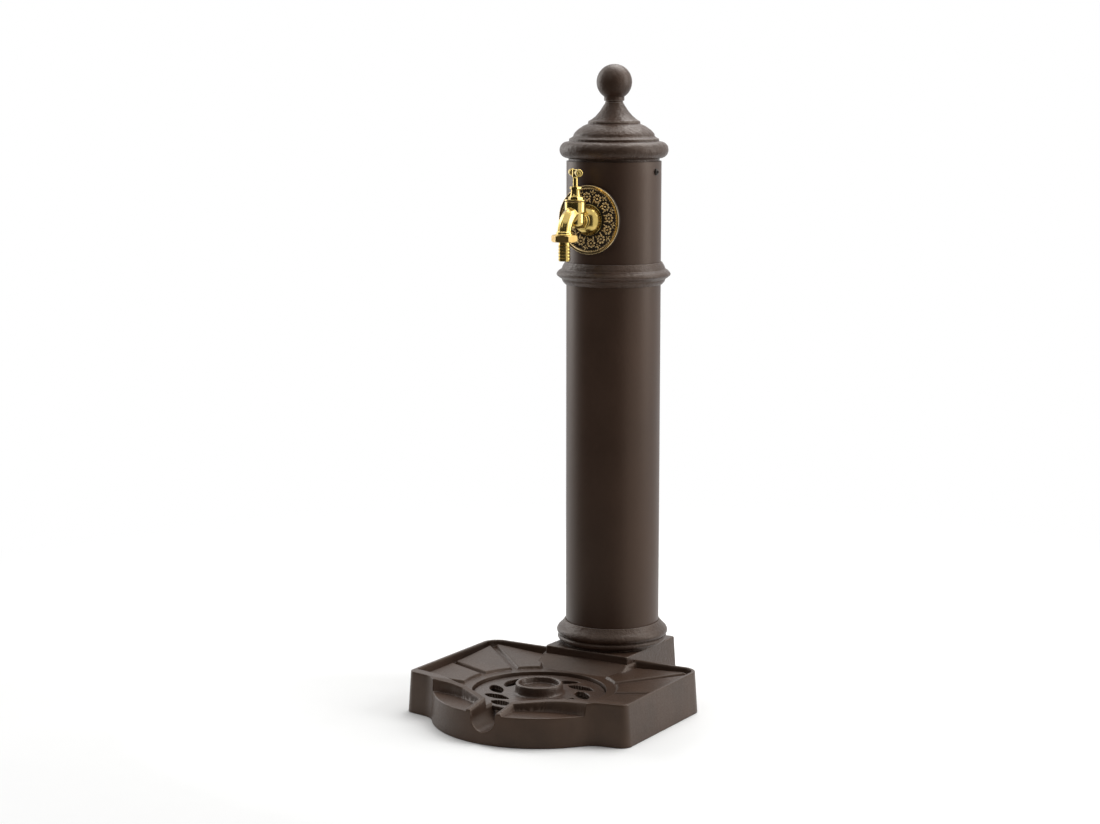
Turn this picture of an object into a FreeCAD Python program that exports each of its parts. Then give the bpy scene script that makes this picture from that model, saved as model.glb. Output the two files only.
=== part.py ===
import FreeCAD, Part
import math
import os

# Garden fountain: a painted tube column on a cast plinth, a brass bib tap on a round wall plate,
# and a cast drip tray with a lift-out drain grate. The origin is the column's axis at the floor,
# +Z is up and the tap looks along -Y. All sizes are in millimetres.

# Fits, each measured on the radius
FIT = 0.05
RUNNING = 0.05
SCREW_CLEARANCE = 0.5

# Column tube
TUBE_DIAMETER = 139.7
TUBE_WALL = 3.0
TUBE_ABOVE_PLATE = 32.5

# Plinth: a cast box, a little deeper in front of the axis, with a spigot that the tube slips over
PLINTH_WIDTH = 140.0
PLINTH_FRONT = 78.5
PLINTH_BACK = 70.0
PLINTH_HEIGHT = 68.0
PLINTH_DRAFT = 3.0
PLINTH_WALL = 6.0
PLINTH_CORNER = 3.0
PLINTH_PLATE = 8.0
SPIGOT_HEIGHT = 57.0
SPIGOT_WALL = 6.0
FLOOR_HOLE_DIAMETER = 56.0
ANCHOR_SPACING = 70.0
ANCHOR_HOLE = 9.0

# Cast rings round the tube, each given by how far it stands out from the tube
RING_LIP = 1.7
BASE_RING_HEIGHT = 34.0
BASE_RING_STAND = 13.5
BASE_RING_LINE = 9.2
BASE_RING_SLOPE = 9.0
BASE_RING_FOOT = 4.0
MID_RING_BELOW_PLATE = 14.5
MID_RING_HEIGHT = 33.0
MID_RING_STAND = 14.4
MID_RING_BEAD = 7.5
MID_RING_CENTRE = 14.9
MID_RING_STEP = 6.2

# Cap and ball finial
CAP_GAP = 2.0
CAP_BEAD_STAND = 10.0
CAP_BEAD_RADIUS = 12.0
CAP_BEAD_RISE = 2.0
CAP_STEP_HEIGHT = 7.0
CAP_STEP_INSET = 4.0
CAP_DOME_INSET = 9.8
CAP_DOME_HEIGHT = 18.0
CAP_DOME_TOP_RADIUS = 38.4
CAP_TOP_STEP = 3.0
CAP_HEIGHT = 83.0
CAP_NECK_RADIUS = 14.0
CAP_EDGE = 1.0
CAP_WALL = 5.0
CAP_SPIGOT = 28.0
BALL_DIAMETER = 52.0
FINIAL_FOOT_RADIUS = 14.9
FINIAL_FOOT_HEIGHT = 6.2
FINIAL_GROOVE = 2.0
STUD_DIAMETER = 8.0
STUD_LENGTH = 54.0
STUD_BELOW = 9.0
WASHER_THICKNESS = 1.6

# Screws in the column: M6 button heads and M6 grub screws
SCREW_DIAMETER = 6.0
SCREW_HEAD_DIAMETER = 9.5
SCREW_HEAD_HEIGHT = 3.3
SCREW_HEAD_EDGE = 0.6
SCREW_SOCKET = 4.0
SCREW_SOCKET_DEPTH = 2.0
SCREW_PROUD = 1.5
CAP_SCREW_DROP = 15.0
COLUMN_SCREW_ANGLE = 30.0
GRUB_ANGLE = 40.0
GRUB_LENGTH = 10.0
GRUB_SOCKET = 3.0

# Drip tray
TRAY_WIDTH = 360.0
TRAY_HEIGHT = 60.0
TRAY_DRAFT = 4.0
TRAY_WALL = 6.0
TRAY_BACK = 56.0
TRAY_CORNER_REACH = 68.0
BACK_CORNER_RADIUS = 25.0
FRONT_CORNER_RADIUS = 12.0
LOBE_BLEND_RADIUS = 14.0
LOBE_ANGLE = 31.0
SHELF_WIDTH = 32.0
SHELF_HEIGHT = 42.0
RIM_WIDTH = 6.0
FRONT_RIM_WIDTH = 9.0
FRONT_RIM_MARGIN = 15.0
FRONT_RIM_ANGLES = (53.0, 76.0)
NOTCH_WALL = 9.0
APRON_HEIGHT = 57.0
NOTCH_GAP = 0.3
RIM_DROP = 9.0
LIP_DROP = 7.0
BASIN_SLOPE = 0.09
PAD_RISE = 5.5
PAD_MARGIN = 15.5
PAD_EDGE = 2.5
PAD_GROOVE = 6.0
PAD_ANGLES = (27.0, 50.0, 78.0, 108.0)

# Drain: grate, sump and spillway
DRAIN_ROOM = 26.0
GRATE_DIAMETER = 189.0
GRATE_THICKNESS = 6.0
GRATE_TOP = 37.5
GRATE_GAP = 2.0
GRATE_LEDGE = 12.0
GRATE_SLOTS = 10
SLOT_RADIUS = 64.0
SLOT_LENGTH = 44.0
SLOT_WIDTH = 17.0
SLOT_SWIRL = 60.0
SLOT_START = 303.0
FRONT_HOLE_RADIUS = 77.0
FRONT_HOLE_LENGTH = 38.0
FRONT_HOLE_WIDTH = 20.0
FRONT_HOLE_ANGLE = 258.0
CUP_DIAMETER = 68.0
CUP_WALL = 5.0
CUP_EDGE = 1.0
CUP_DRAFT = 2.0
CUP_RISE = 14.5
CUP_DEPTH = 9.0
BASIN_STEP = 1.5
SUMP_FLOOR = 17.0
CHANNEL_WIDTH = 40.0

# Bolts between the tray and the plinth, M8
BOLT_DIAMETER = 8.0
BOLT_ACROSS = 13.0
BOLT_HEAD_HEIGHT = 5.3
BOLT_NUT_HEIGHT = 6.5
BOLT_PROUD = 7.5
BOLT_SPACING = 90.0
BOLT_HEIGHT = 22.0

# Tap: a half inch bib tap with a T handle and a hose union
TAP_HEIGHT = 707.0
TAP_REACH = 112.0
SPOUT_REACH = 31.0
THREAD_DIAMETER = 20.96
TAIL_BORE = 13.0
TAIL_IN_ELBOW = 9.0
SHOULDER_DIAMETER = 26.0
SHOULDER_LENGTH = 3.0
NECK_DIAMETER = 21.0
NECK_LENGTH = 17.0
TAP_EDGE = 0.6
CHAMBER_DIAMETER = 27.0
CHAMBER_RISE = 3.5
BAND_DIAMETER = 30.4
BAND_HEIGHT = 16.0
BAND_TOP = 28.0
BAND_TAPER = 6.0
SEAT_RISE = 3.0
SEAT_BORE = 10.0
PASSAGE_DIAMETER = 9.0
PASSAGE_DROP = 3.5
CHAMBER_BORE = 19.0
BONNET_THREAD = 21.0
BONNET_ENGAGE = 8.0
SPOUT_DIAMETER = 20.0
SPOUT_BORE = 13.0
SPOUT_BEND = 28.0
OUTLET_THREAD = 26.2
OUTLET_DROP = 21.5
OUTLET_LENGTH = 5.0
OUTLET_COLLAR = 2.5
OUTLET_COLLAR_STAND = 1.5

# Valve and handle
GASKET_THICKNESS = 1.0
FLANGE_DIAMETER = 31.2
FLANGE_THICKNESS = 2.4
FLANGE_EDGE = 0.8
BONNET_ACROSS = 18.0
BONNET_HEX = 4.0
BONNET_NECK_DIAMETER = 13.5
BONNET_NECK = 11.0
SPINDLE_THREAD = 10.0
SPINDLE_THREAD_LENGTH = 16.0
STEM_DIAMETER = 7.0
PACKING_DIAMETER = 10.0
PACKING_DEPTH = 10.5
PACKING_LENGTH = 4.0
PACKING_SHELF = 3.0
GLAND_ACROSS = 14.5
GLAND_HEAD = 3.5
VALVE_WASHER_DIAMETER = 15.0
VALVE_WASHER_THICKNESS = 3.0
JUMPER_PLATE = 2.0
JUMPER_RIM = 0.4
JUMPER_STEM = 5.0
JUMPER_STEM_LENGTH = 8.0
JUMPER_PIN = 4.0
JUMPER_PIN_LENGTH = 5.0
HANDLE_RISE = 69.6
HUB_DIAMETER = 9.0
HUB_HEIGHT = 10.4
HUB_EDGE = 1.0
BAR_DIAMETER = 6.0
BAR_LENGTH = 46.0
BAR_ANGLE = -45.0
DRUM_DIAMETER = 10.5
DRUM_LENGTH = 10.0
DRUM_EDGE = 1.2
DRUM_END = 2.0

# Hose union
UNION_ACROSS = 32.6
UNION_HEIGHT = 10.0
UNION_LIP = 2.0
UNION_EDGE = 1.2
UNION_ROOM = 0.4
NUT_TURN = 49.0
TAIL_FLANGE = 2.0
TAIL_FLANGE_DIAMETER = 23.6
TAIL_WASHER = 2.0
BARB_DIAMETER = 18.0
BARB_ROOT = 16.0
BARB_BORE = 13.0
BARB_COUNT = 5
BARB_PITCH = 4.6
TAIL_DROP = 27.5

# Wall plate behind the tap
ROSETTE_DIAMETER = 101.0
ROSETTE_THICKNESS = 3.4
ROSETTE_RIM = 5.0
ROSETTE_RIM_RISE = 1.6
ROSETTE_EDGE = 1.0
FLOWER_COUNT = 12
FLOWER_CIRCLE = 66.0
FLOWER_DIAMETER = 13.0
FLOWER_RISE = 1.2
FLOWER_EDGE = 1.5
FLOWER_BEAD = 2.4
FLOWER_START = 6.0
DOME_DIAMETER = 44.0
DOME_WALL = 1.6
DOME_EDGE = 1.5
DOME_CROWN = 2.5
DOME_SHOULDER = 4.5

# Supply line inside the column
SADDLE_WIDTH = 32.0
SADDLE_DEPTH = 56.0
LOCKNUT_ACROSS = 30.0
LOCKNUT_THICKNESS = 6.0
ELBOW_DIAMETER = 28.0
ELBOW_SOCKET = 14.0
RISER_REACH = 32.0
RISER_DIAMETER = 15.0
RISER_WALL = 1.0
RISER_NUT_ACROSS = 24.0
RISER_NUT_HEIGHT = 8.0
ELBOW_ARM = 23.0
SUPPLY_HEIGHT = 35.0
SUPPLY_FLANGE = 6.0
SUPPLY_RELIEF = 1.5
SUPPLY_FREE = 14.5
SUPPLY_BORE = 15.0
BOSS_DIAMETER = 40.0
BOSS_FACE = 74.0

# Sizes that follow from the ones above
UP = FreeCAD.Vector(0, 0, 1)
RIGHT = FreeCAD.Vector(1, 0, 0)
BACK = FreeCAD.Vector(0, 1, 0)
TUBE_RADIUS = TUBE_DIAMETER / 2
TUBE_INNER = TUBE_RADIUS - TUBE_WALL
SPIGOT_RADIUS = TUBE_INNER - FIT
SPIGOT_TOP = PLINTH_HEIGHT + SPIGOT_HEIGHT
TUBE_TOP = TAP_HEIGHT + ROSETTE_DIAMETER / 2 + TUBE_ABOVE_PLATE
MID_RING_FOOT = TAP_HEIGHT - ROSETTE_DIAMETER / 2 - MID_RING_BELOW_PLATE - MID_RING_HEIGHT
COLUMN_SCREW_HEIGHT = (PLINTH_HEIGHT + BASE_RING_HEIGHT + SPIGOT_TOP) / 2
CAP_UNDERSIDE = TUBE_TOP + CAP_GAP
CAP_SCREW_HEIGHT = TUBE_TOP - CAP_SCREW_DROP
CAP_TOP = CAP_UNDERSIDE + CAP_HEIGHT
SCREW_RADIUS = SCREW_DIAMETER / 2
GRATE_RADIUS = GRATE_DIAMETER / 2
GRATE_FOOT = GRATE_TOP - GRATE_THICKNESS
SEAT_RADIUS = GRATE_RADIUS + GRATE_GAP
SUMP_RADIUS = SEAT_RADIUS - GRATE_LEDGE
FRONT_RIM_RADIUS = GRATE_RADIUS + FRONT_RIM_MARGIN
LOBE_RADIUS = FRONT_RIM_RADIUS + FRONT_RIM_WIDTH + SHELF_WIDTH
NOTCH_FACE = PLINTH_FRONT + PLINTH_DRAFT + NOTCH_WALL
NOTCH_SIDE = PLINTH_WIDTH / 2 + PLINTH_DRAFT + NOTCH_WALL
DRAIN_REACH = NOTCH_FACE + DRAIN_ROOM + SEAT_RADIUS
DRAIN = FreeCAD.Vector(0, -DRAIN_REACH, 0)
TRAY_CORNER = DRAIN_REACH + TRAY_CORNER_REACH
PLINTH_SIDE_INNER = PLINTH_WIDTH / 2 - PLINTH_WALL
PLINTH_FRONT_INNER = PLINTH_FRONT - PLINTH_WALL
PLINTH_BACK_INNER = PLINTH_BACK - PLINTH_WALL
BOLT_LENGTH = NOTCH_FACE - PLINTH_FRONT_INNER + BOLT_NUT_HEIGHT + BOLT_PROUD
COLUMN_SCREW_ANGLES = (90 - COLUMN_SCREW_ANGLE, 90 + COLUMN_SCREW_ANGLE)
GRUB_ANGLES = (90 - GRUB_ANGLE, 90 + GRUB_ANGLE)
CAP_SCREW_ANGLES = (0, 180)
CAP_BEAD_HEIGHT = CAP_UNDERSIDE + CAP_BEAD_RISE + CAP_BEAD_RADIUS
CAP_DOME_FOOT = CAP_BEAD_HEIGHT + CAP_BEAD_RADIUS + CAP_STEP_HEIGHT
CAP_DOME_TOP = CAP_DOME_FOOT + CAP_DOME_HEIGHT
CAP_ROOF = CAP_DOME_TOP + CAP_TOP_STEP - CAP_EDGE - CAP_WALL
STUD_FOOT = CAP_ROOF - STUD_BELOW
WASHER_FOOT = CAP_ROOF - WASHER_THICKNESS
MID_BEAD_HEIGHT = MID_RING_FOOT + MID_RING_CENTRE
THREAD_RADIUS = THREAD_DIAMETER / 2
ROSETTE_FACE = TUBE_RADIUS + ROSETTE_THICKNESS
SHOULDER_REACH = TAP_REACH - NECK_LENGTH - SHOULDER_LENGTH
OUTLET_REACH = TAP_REACH + SPOUT_REACH
ELBOW_FACE = SADDLE_DEPTH - LOCKNUT_THICKNESS
TAIL_END = ELBOW_FACE - TAIL_IN_ELBOW
SEAT_HEIGHT = TAP_HEIGHT + SEAT_RISE
BODY_TOP = TAP_HEIGHT + BAND_TOP
PLATE_FOOT = SEAT_HEIGHT + VALVE_WASHER_THICKNESS
PLATE_TOP = PLATE_FOOT + JUMPER_PLATE
FLANGE_FOOT = BODY_TOP + GASKET_THICKNESS
HEX_TOP = FLANGE_FOOT + FLANGE_THICKNESS + BONNET_HEX
NECK_TOP = HEX_TOP + BONNET_NECK
PACKING_FOOT = NECK_TOP - PACKING_DEPTH
HANDLE_HEIGHT = TAP_HEIGHT + HANDLE_RISE
OUTLET_FOOT = TAP_HEIGHT - OUTLET_DROP
OUTLET_TOP = OUTLET_FOOT + OUTLET_LENGTH
UNION_TOP_THREAD = OUTLET_FOOT - TAIL_WASHER - TAIL_FLANGE
UNION_FOOT = UNION_TOP_THREAD - UNION_LIP
RISER_FOOT = SUPPLY_HEIGHT + ELBOW_ARM - ELBOW_SOCKET
RISER_TOP = TAP_HEIGHT - ELBOW_ARM + ELBOW_SOCKET


def vector(x, y, z):
    return FreeCAD.Vector(x, y, z)


def closed_wire(start, steps):
    """Wire from start through the steps and back; a step is a point, or a pair for an arc:
    a point on it and its end."""
    edges = []
    here = start
    for step in steps:
        if isinstance(step, tuple):
            middle, end = step
            edges.append(Part.Arc(here, middle, end).toShape())
        else:
            end = step
            edges.append(Part.makeLine(here, end))
        here = end
    if here.distanceToPoint(start) > 0.001:
        edges.append(Part.makeLine(here, start))
    return Part.Wire(edges)


def profile_point(pair):
    return vector(pair[0], 0, pair[1])


def turned(profile):
    """Solid turned about +Z from (radius, height) points; an arc is a pair of such points."""
    steps = []
    for step in profile[1:]:
        if isinstance(step[0], tuple):
            steps.append((profile_point(step[0]), profile_point(step[1])))
        else:
            steps.append(profile_point(step))
    face = Part.Face(closed_wire(profile_point(profile[0]), steps))
    return face.revolve(vector(0, 0, 0), UP, 360)


def rod(radius, foot, top, x=0, y=0):
    return Part.makeCylinder(radius, top - foot, vector(x, y, foot), UP)


def ring(outer, inner, foot, top, x=0, y=0):
    return rod(outer, foot, top, x, y).cut(rod(inner, foot - 1, top + 1, x, y))


def rod_back(radius, start, end, x, z):
    """Cylinder along Y from start to end."""
    return Part.makeCylinder(radius, end - start, vector(x, start, z), BACK)


def block(low, high):
    return Part.makeBox(high[0] - low[0], high[1] - low[1], high[2] - low[2], vector(*low))


def hexagon(across, foot, top, turn=0):
    """Hexagonal prism about the Z axis; turn is the direction of one flat's normal."""
    corner = across / 2 / math.cos(math.radians(30))
    points = []
    for index in range(6):
        angle = math.radians(turn + 30 + 60 * index)
        points.append(vector(corner * math.cos(angle), corner * math.sin(angle), foot))
    return Part.Face(closed_wire(points[0], points[1:])).extrude(UP * (top - foot))


def moved(shape, x, y, z=0):
    copy = shape.copy()
    copy.translate(vector(x, y, z))
    return copy


def facing_front(shape, height):
    """Turns a piece made about +Z so that its heights become distances in front of the axis."""
    copy = shape.copy()
    copy.rotate(vector(0, 0, 0), RIGHT, 90)
    copy.translate(vector(0, 0, height))
    return copy


def facing_out(shape, angle, radius, height):
    """Places a piece made about +Z to point out of the column in the direction angle."""
    copy = shape.copy()
    copy.rotate(vector(0, 0, 0), BACK, 90)
    copy.translate(vector(radius, 0, height))
    copy.rotate(vector(0, 0, 0), UP, angle)
    return copy


def mirrored(shape):
    return shape.mirror(vector(0, 0, 0), RIGHT)


def fused(shapes):
    return shapes[0].multiFuse(shapes[1:]).removeSplitter()


def radial_screw_holes(angles, height, radius, depth):
    drill = rod(SCREW_RADIUS + FIT, 0, depth)
    return [facing_out(drill, angle, radius, height) for angle in angles]


def unit(v):
    return v * (1 / v.Length)


def line_corner(before, corner, after, radius):
    """Start of a rounded corner and its arc step: the tangent points on the two straights."""
    back = unit(before - corner)
    ahead = unit(after - corner)
    half = back.getAngle(ahead) / 2
    reach = radius / math.tan(half)
    centre = corner + unit(back + ahead) * (radius / math.sin(half))
    middle = centre + unit(corner - centre) * radius
    return corner + back * reach, (middle, corner + ahead * reach)


def plinth_outline(grow, height):
    """Rectangle with rounded corners, grown sideways by grow."""
    side = PLINTH_WIDTH / 2 + grow
    front = -PLINTH_FRONT - grow
    back = PLINTH_BACK + grow
    corners = [vector(side, front, height), vector(side, back, height),
               vector(-side, back, height), vector(-side, front, height)]
    places = []
    for index, corner in enumerate(corners):
        places += line_corner(corners[index - 1], corner, corners[(index + 1) % 4],
                              PLINTH_CORNER)
    return closed_wire(places[0], places[1:])


def plinth_outside(gap=0.0):
    foot = plinth_outline(PLINTH_DRAFT + gap, 0)
    top = plinth_outline(gap, PLINTH_HEIGHT)
    return Part.makeLoft([foot, top], True, True)


def tray_bolt_places():
    return [(side * BOLT_SPACING / 2, BOLT_HEIGHT) for side in (-1, 1)]


def plinth():
    """Box with a floor plate, a top plate, the tube's spigot and a boss for the inlet."""
    bore = SPIGOT_RADIUS - SPIGOT_WALL
    boss = rod_back(BOSS_DIAMETER / 2, PLINTH_BACK_INNER, BOSS_FACE, 0, SUPPLY_HEIGHT)
    body = fused([plinth_outside(), boss, rod(SPIGOT_RADIUS, PLINTH_HEIGHT - 1, SPIGOT_TOP)])
    hollow = block((-PLINTH_SIDE_INNER, -PLINTH_FRONT_INNER, PLINTH_PLATE),
                   (PLINTH_SIDE_INNER, PLINTH_BACK_INNER, PLINTH_HEIGHT - PLINTH_PLATE))
    cuts = [hollow, rod(bore, PLINTH_PLATE, SPIGOT_TOP + 1)]
    cuts.append(rod(FLOOR_HOLE_DIAMETER / 2, -1, PLINTH_PLATE + 1))
    cuts.append(rod_back(THREAD_RADIUS + FIT, PLINTH_BACK_INNER - 1, BOSS_FACE + 1, 0,
                         SUPPLY_HEIGHT))
    for x in (-ANCHOR_SPACING / 2, ANCHOR_SPACING / 2):
        for y in (-ANCHOR_SPACING / 2, ANCHOR_SPACING / 2):
            cuts.append(rod(ANCHOR_HOLE / 2, -1, PLINTH_PLATE + 1, x, y))
    for x, z in tray_bolt_places():
        cuts.append(rod_back(BOLT_DIAMETER / 2 + FIT, -NOTCH_FACE, -PLINTH_FRONT_INNER + 1, x, z))
    cuts += radial_screw_holes(COLUMN_SCREW_ANGLES, COLUMN_SCREW_HEIGHT, bore - 1,
                               SPIGOT_WALL + 2)
    return body.cut(cuts)


def column_tube():
    """Steel tube with holes for the tap, the cap's screws and the screws at its foot."""
    tube = ring(TUBE_RADIUS, TUBE_INNER, PLINTH_HEIGHT, TUBE_TOP)
    tap_hole = rod_back(THREAD_RADIUS + SCREW_CLEARANCE, -TUBE_RADIUS - 1, 0, 0, TAP_HEIGHT)
    depth = TUBE_WALL + 2
    cuts = radial_screw_holes(CAP_SCREW_ANGLES, CAP_SCREW_HEIGHT, TUBE_INNER - 1, depth)
    cuts += radial_screw_holes(COLUMN_SCREW_ANGLES, COLUMN_SCREW_HEIGHT, TUBE_INNER - 1, depth)
    return tube.cut([tap_hole] + cuts)


def base_collar():
    """Cast ring that hides the joint of tube and plinth: a full bead, a line and a slope."""
    bore = TUBE_RADIUS + FIT
    foot = PLINTH_HEIGHT
    top = foot + BASE_RING_HEIGHT
    line = TUBE_RADIUS + BASE_RING_LINE
    line_height = top - BASE_RING_SLOPE
    wide = TUBE_RADIUS + BASE_RING_STAND
    bead_foot = foot + BASE_RING_FOOT
    return turned([(bore, foot), (line, foot), (wide - RING_LIP, bead_foot),
                   ((wide, (bead_foot + line_height) / 2), (line + RING_LIP, line_height - 1)),
                   (line, line_height), (TUBE_RADIUS + RING_LIP, top), (bore, top)])


def mid_collar():
    """Cast ring with a half-round bead, a small foot ring and a sloping upper edge."""
    bore = TUBE_RADIUS + FIT
    foot = MID_RING_FOOT
    top = foot + MID_RING_HEIGHT
    bead = MID_BEAD_HEIGHT
    wide = TUBE_RADIUS + MID_RING_STAND
    shoulder = wide - MID_RING_BEAD
    step_height = (foot + bead - MID_RING_BEAD) / 2
    body = turned([(bore, foot), (TUBE_RADIUS + RING_LIP, foot),
                   (TUBE_RADIUS + MID_RING_STEP, step_height), (shoulder, bead - MID_RING_BEAD),
                   ((wide, bead), (shoulder, bead + MID_RING_BEAD)),
                   (TUBE_RADIUS + RING_LIP, top), (bore, top)])
    holes = radial_screw_holes(GRUB_ANGLES, bead, TUBE_RADIUS - 1, MID_RING_STAND + 2)
    return body.cut(holes)


def collar_screws():
    """Two grub screws at the back that pinch the middle ring on the tube."""
    socket = hexagon(GRUB_SOCKET, GRUB_LENGTH - GRUB_SOCKET, GRUB_LENGTH + 1)
    screw = rod(SCREW_RADIUS, 0, GRUB_LENGTH).cut(socket)
    return Part.makeCompound([facing_out(screw, angle, TUBE_RADIUS, MID_BEAD_HEIGHT)
                              for angle in GRUB_ANGLES])


def button_screw(length):
    """Button-head screw about +Z, its seat at height 0 and its shank below."""
    wide = SCREW_HEAD_DIAMETER / 2
    top = SCREW_HEAD_HEIGHT
    flat = SCREW_SOCKET * 0.6
    head = turned([(0, 0), (wide, 0), (wide, SCREW_HEAD_EDGE),
                   ((wide * 0.82, top * 0.72), (flat, top)), (0, top)])
    socket = hexagon(SCREW_SOCKET, top - SCREW_SOCKET_DEPTH, top + 1)
    return fused([head, rod(SCREW_RADIUS, -length, 0)]).cut(socket)


def cap_screws():
    screw = button_screw(TUBE_WALL + CAP_WALL + SCREW_PROUD)
    return Part.makeCompound([facing_out(screw, angle, TUBE_RADIUS, CAP_SCREW_HEIGHT)
                              for angle in CAP_SCREW_ANGLES])


def column_screws():
    screw = button_screw(TUBE_WALL + SPIGOT_WALL + SCREW_PROUD)
    return Part.makeCompound([facing_out(screw, angle, TUBE_RADIUS, COLUMN_SCREW_HEIGHT)
                              for angle in COLUMN_SCREW_ANGLES])


def cap_outside():
    """Outer line of the cap from its spigot up: bead, step, dome, small step, flare, neck."""
    bead = CAP_BEAD_HEIGHT
    wide = TUBE_RADIUS + CAP_BEAD_STAND
    centre = wide - CAP_BEAD_RADIUS
    step = TUBE_RADIUS - CAP_STEP_INSET
    step_foot = bead + CAP_BEAD_RADIUS + CAP_EDGE
    dome_wide = TUBE_RADIUS - CAP_DOME_INSET
    dome_narrow = CAP_DOME_TOP_RADIUS
    small_step = CAP_DOME_TOP + CAP_TOP_STEP
    flare_foot = small_step + 2 * CAP_EDGE
    flare_wide = dome_narrow - CAP_EDGE
    dome_middle = (dome_narrow + 0.61 * (dome_wide - dome_narrow),
                   CAP_DOME_FOOT + 0.62 * CAP_DOME_HEIGHT)
    flare_middle = (CAP_NECK_RADIUS + 0.2 * (flare_wide - CAP_NECK_RADIUS),
                    flare_foot + 0.46 * (CAP_TOP - flare_foot))
    return [(SPIGOT_RADIUS, TUBE_TOP - CAP_SPIGOT), (SPIGOT_RADIUS, CAP_UNDERSIDE),
            (centre, CAP_UNDERSIDE), (centre, bead - CAP_BEAD_RADIUS),
            ((wide, bead), (centre, bead + CAP_BEAD_RADIUS)), (step, step_foot),
            (step, CAP_DOME_FOOT - 2 * CAP_EDGE), (dome_wide, CAP_DOME_FOOT - CAP_EDGE),
            (dome_wide, CAP_DOME_FOOT), (dome_middle, (dome_narrow, CAP_DOME_TOP)),
            (dome_narrow, small_step), (flare_wide, flare_foot),
            (flare_middle, (CAP_NECK_RADIUS, CAP_TOP - 2 * CAP_EDGE)),
            (CAP_NECK_RADIUS - CAP_EDGE, CAP_TOP)]


def cap():
    """Bell-shaped hollow cap that plugs into the tube and is held by two screws."""
    hole = STUD_DIAMETER / 2 + FIT
    inner = SPIGOT_RADIUS - CAP_WALL
    inside = [(hole, CAP_TOP), (hole, CAP_ROOF), (CAP_DOME_TOP_RADIUS - 2 * CAP_WALL, CAP_ROOF),
              (TUBE_RADIUS - CAP_DOME_INSET - 1.6 * CAP_WALL, CAP_DOME_FOOT - CAP_EDGE),
              (inner, CAP_BEAD_HEIGHT - CAP_WALL), (inner, TUBE_TOP - CAP_SPIGOT)]
    body = turned(cap_outside() + inside)
    return body.cut(radial_screw_holes(CAP_SCREW_ANGLES, CAP_SCREW_HEIGHT, inner - 1,
                                       CAP_WALL + 2))


def finial():
    """Ball on a short foot, bored from below for the stud."""
    radius = BALL_DIAMETER / 2
    foot = CAP_TOP + FINIAL_GROOVE
    shoulder = foot + FINIAL_FOOT_HEIGHT
    centre = shoulder + math.sqrt(radius ** 2 - FINIAL_FOOT_RADIUS ** 2)
    hole = STUD_DIAMETER / 2 + FIT
    groove = CAP_NECK_RADIUS - CAP_EDGE
    bore_top = STUD_FOOT + STUD_LENGTH + 1
    return turned([(hole, CAP_TOP), (groove, CAP_TOP), (groove, foot),
                   (FINIAL_FOOT_RADIUS - CAP_EDGE, foot), (FINIAL_FOOT_RADIUS, foot + CAP_EDGE),
                   (FINIAL_FOOT_RADIUS, shoulder), ((radius, centre), (0, centre + radius)),
                   (0, bore_top), (hole, bore_top)])


def finial_stud():
    return rod(STUD_DIAMETER / 2, STUD_FOOT, STUD_FOOT + STUD_LENGTH)


def finial_washer():
    return ring(STUD_DIAMETER, STUD_DIAMETER / 2 + FIT, WASHER_FOOT, CAP_ROOF)


def finial_nut():
    foot = WASHER_FOOT - BOLT_NUT_HEIGHT
    nut = hexagon(BOLT_ACROSS, foot, WASHER_FOOT)
    return nut.cut(rod(STUD_DIAMETER / 2 + FIT, foot - 1, WASHER_FOOT + 1))


def tray_outline(grow, height):
    """Tray's outline seen from above, grown sideways by grow: a straight back and sides, rounded
    corners and a round lobe about the drain that the two front faces blend into."""
    half = TRAY_WIDTH / 2 + grow
    lobe = LOBE_RADIUS + grow
    angle = math.radians(LOBE_ANGLE)
    centre = DRAIN + UP * height
    back_right = vector(half, -TRAY_BACK + grow, height)
    front_right = vector(half, -TRAY_CORNER - grow, height)
    meeting = centre + vector(lobe * math.cos(angle), -lobe * math.sin(angle), 0)
    along = unit(meeting - front_right)
    outward = vector(along.y, -along.x, 0) * (-1 if along.x > 0 else 1)
    if outward.y > 0:
        outward = outward * -1
    blend = LOBE_BLEND_RADIUS
    base = front_right + outward * blend - centre
    reach = -base.dot(along) - math.sqrt(base.dot(along) ** 2 - base.dot(base)
                                         + (lobe + blend) ** 2)
    blend_centre = centre + base + along * reach
    face_end = blend_centre - outward * blend
    lobe_start = centre + unit(blend_centre - centre) * lobe
    blend_middle = blend_centre + unit((face_end + lobe_start) * 0.5 - blend_centre) * blend
    back_left = flipped(back_right)
    start, back_arc = line_corner(back_left, back_right, front_right, BACK_CORNER_RADIUS)
    side_end, front_arc = line_corner(back_right, front_right, meeting, FRONT_CORNER_RADIUS)
    steps = [back_arc, side_end, front_arc, face_end, (blend_middle, lobe_start),
             (centre - BACK * lobe, flipped(lobe_start)), (flipped(blend_middle),
                                                           flipped(face_end)),
             flipped(front_arc[1]), (flipped(front_arc[0]), flipped(side_end)),
             flipped(back_arc[1]), (flipped(back_arc[0]), flipped(start))]
    return closed_wire(start, steps)


def flipped(point):
    return vector(-point.x, point.y, point.z)


def prism(points, foot, top):
    corners = [vector(x, y, foot) for x, y in points]
    return Part.Face(closed_wire(corners[0], corners[1:])).extrude(UP * (top - foot))


def front_rim_points(grow):
    """Right half of the rim's front line, from the lobe's shoulder to beside the spillway."""
    radius = FRONT_RIM_RADIUS + grow
    points = []
    for angle in FRONT_RIM_ANGLES:
        turn = math.radians(angle)
        points.append((radius * math.cos(turn), -DRAIN_REACH - radius * math.sin(turn)))
    return points


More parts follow.
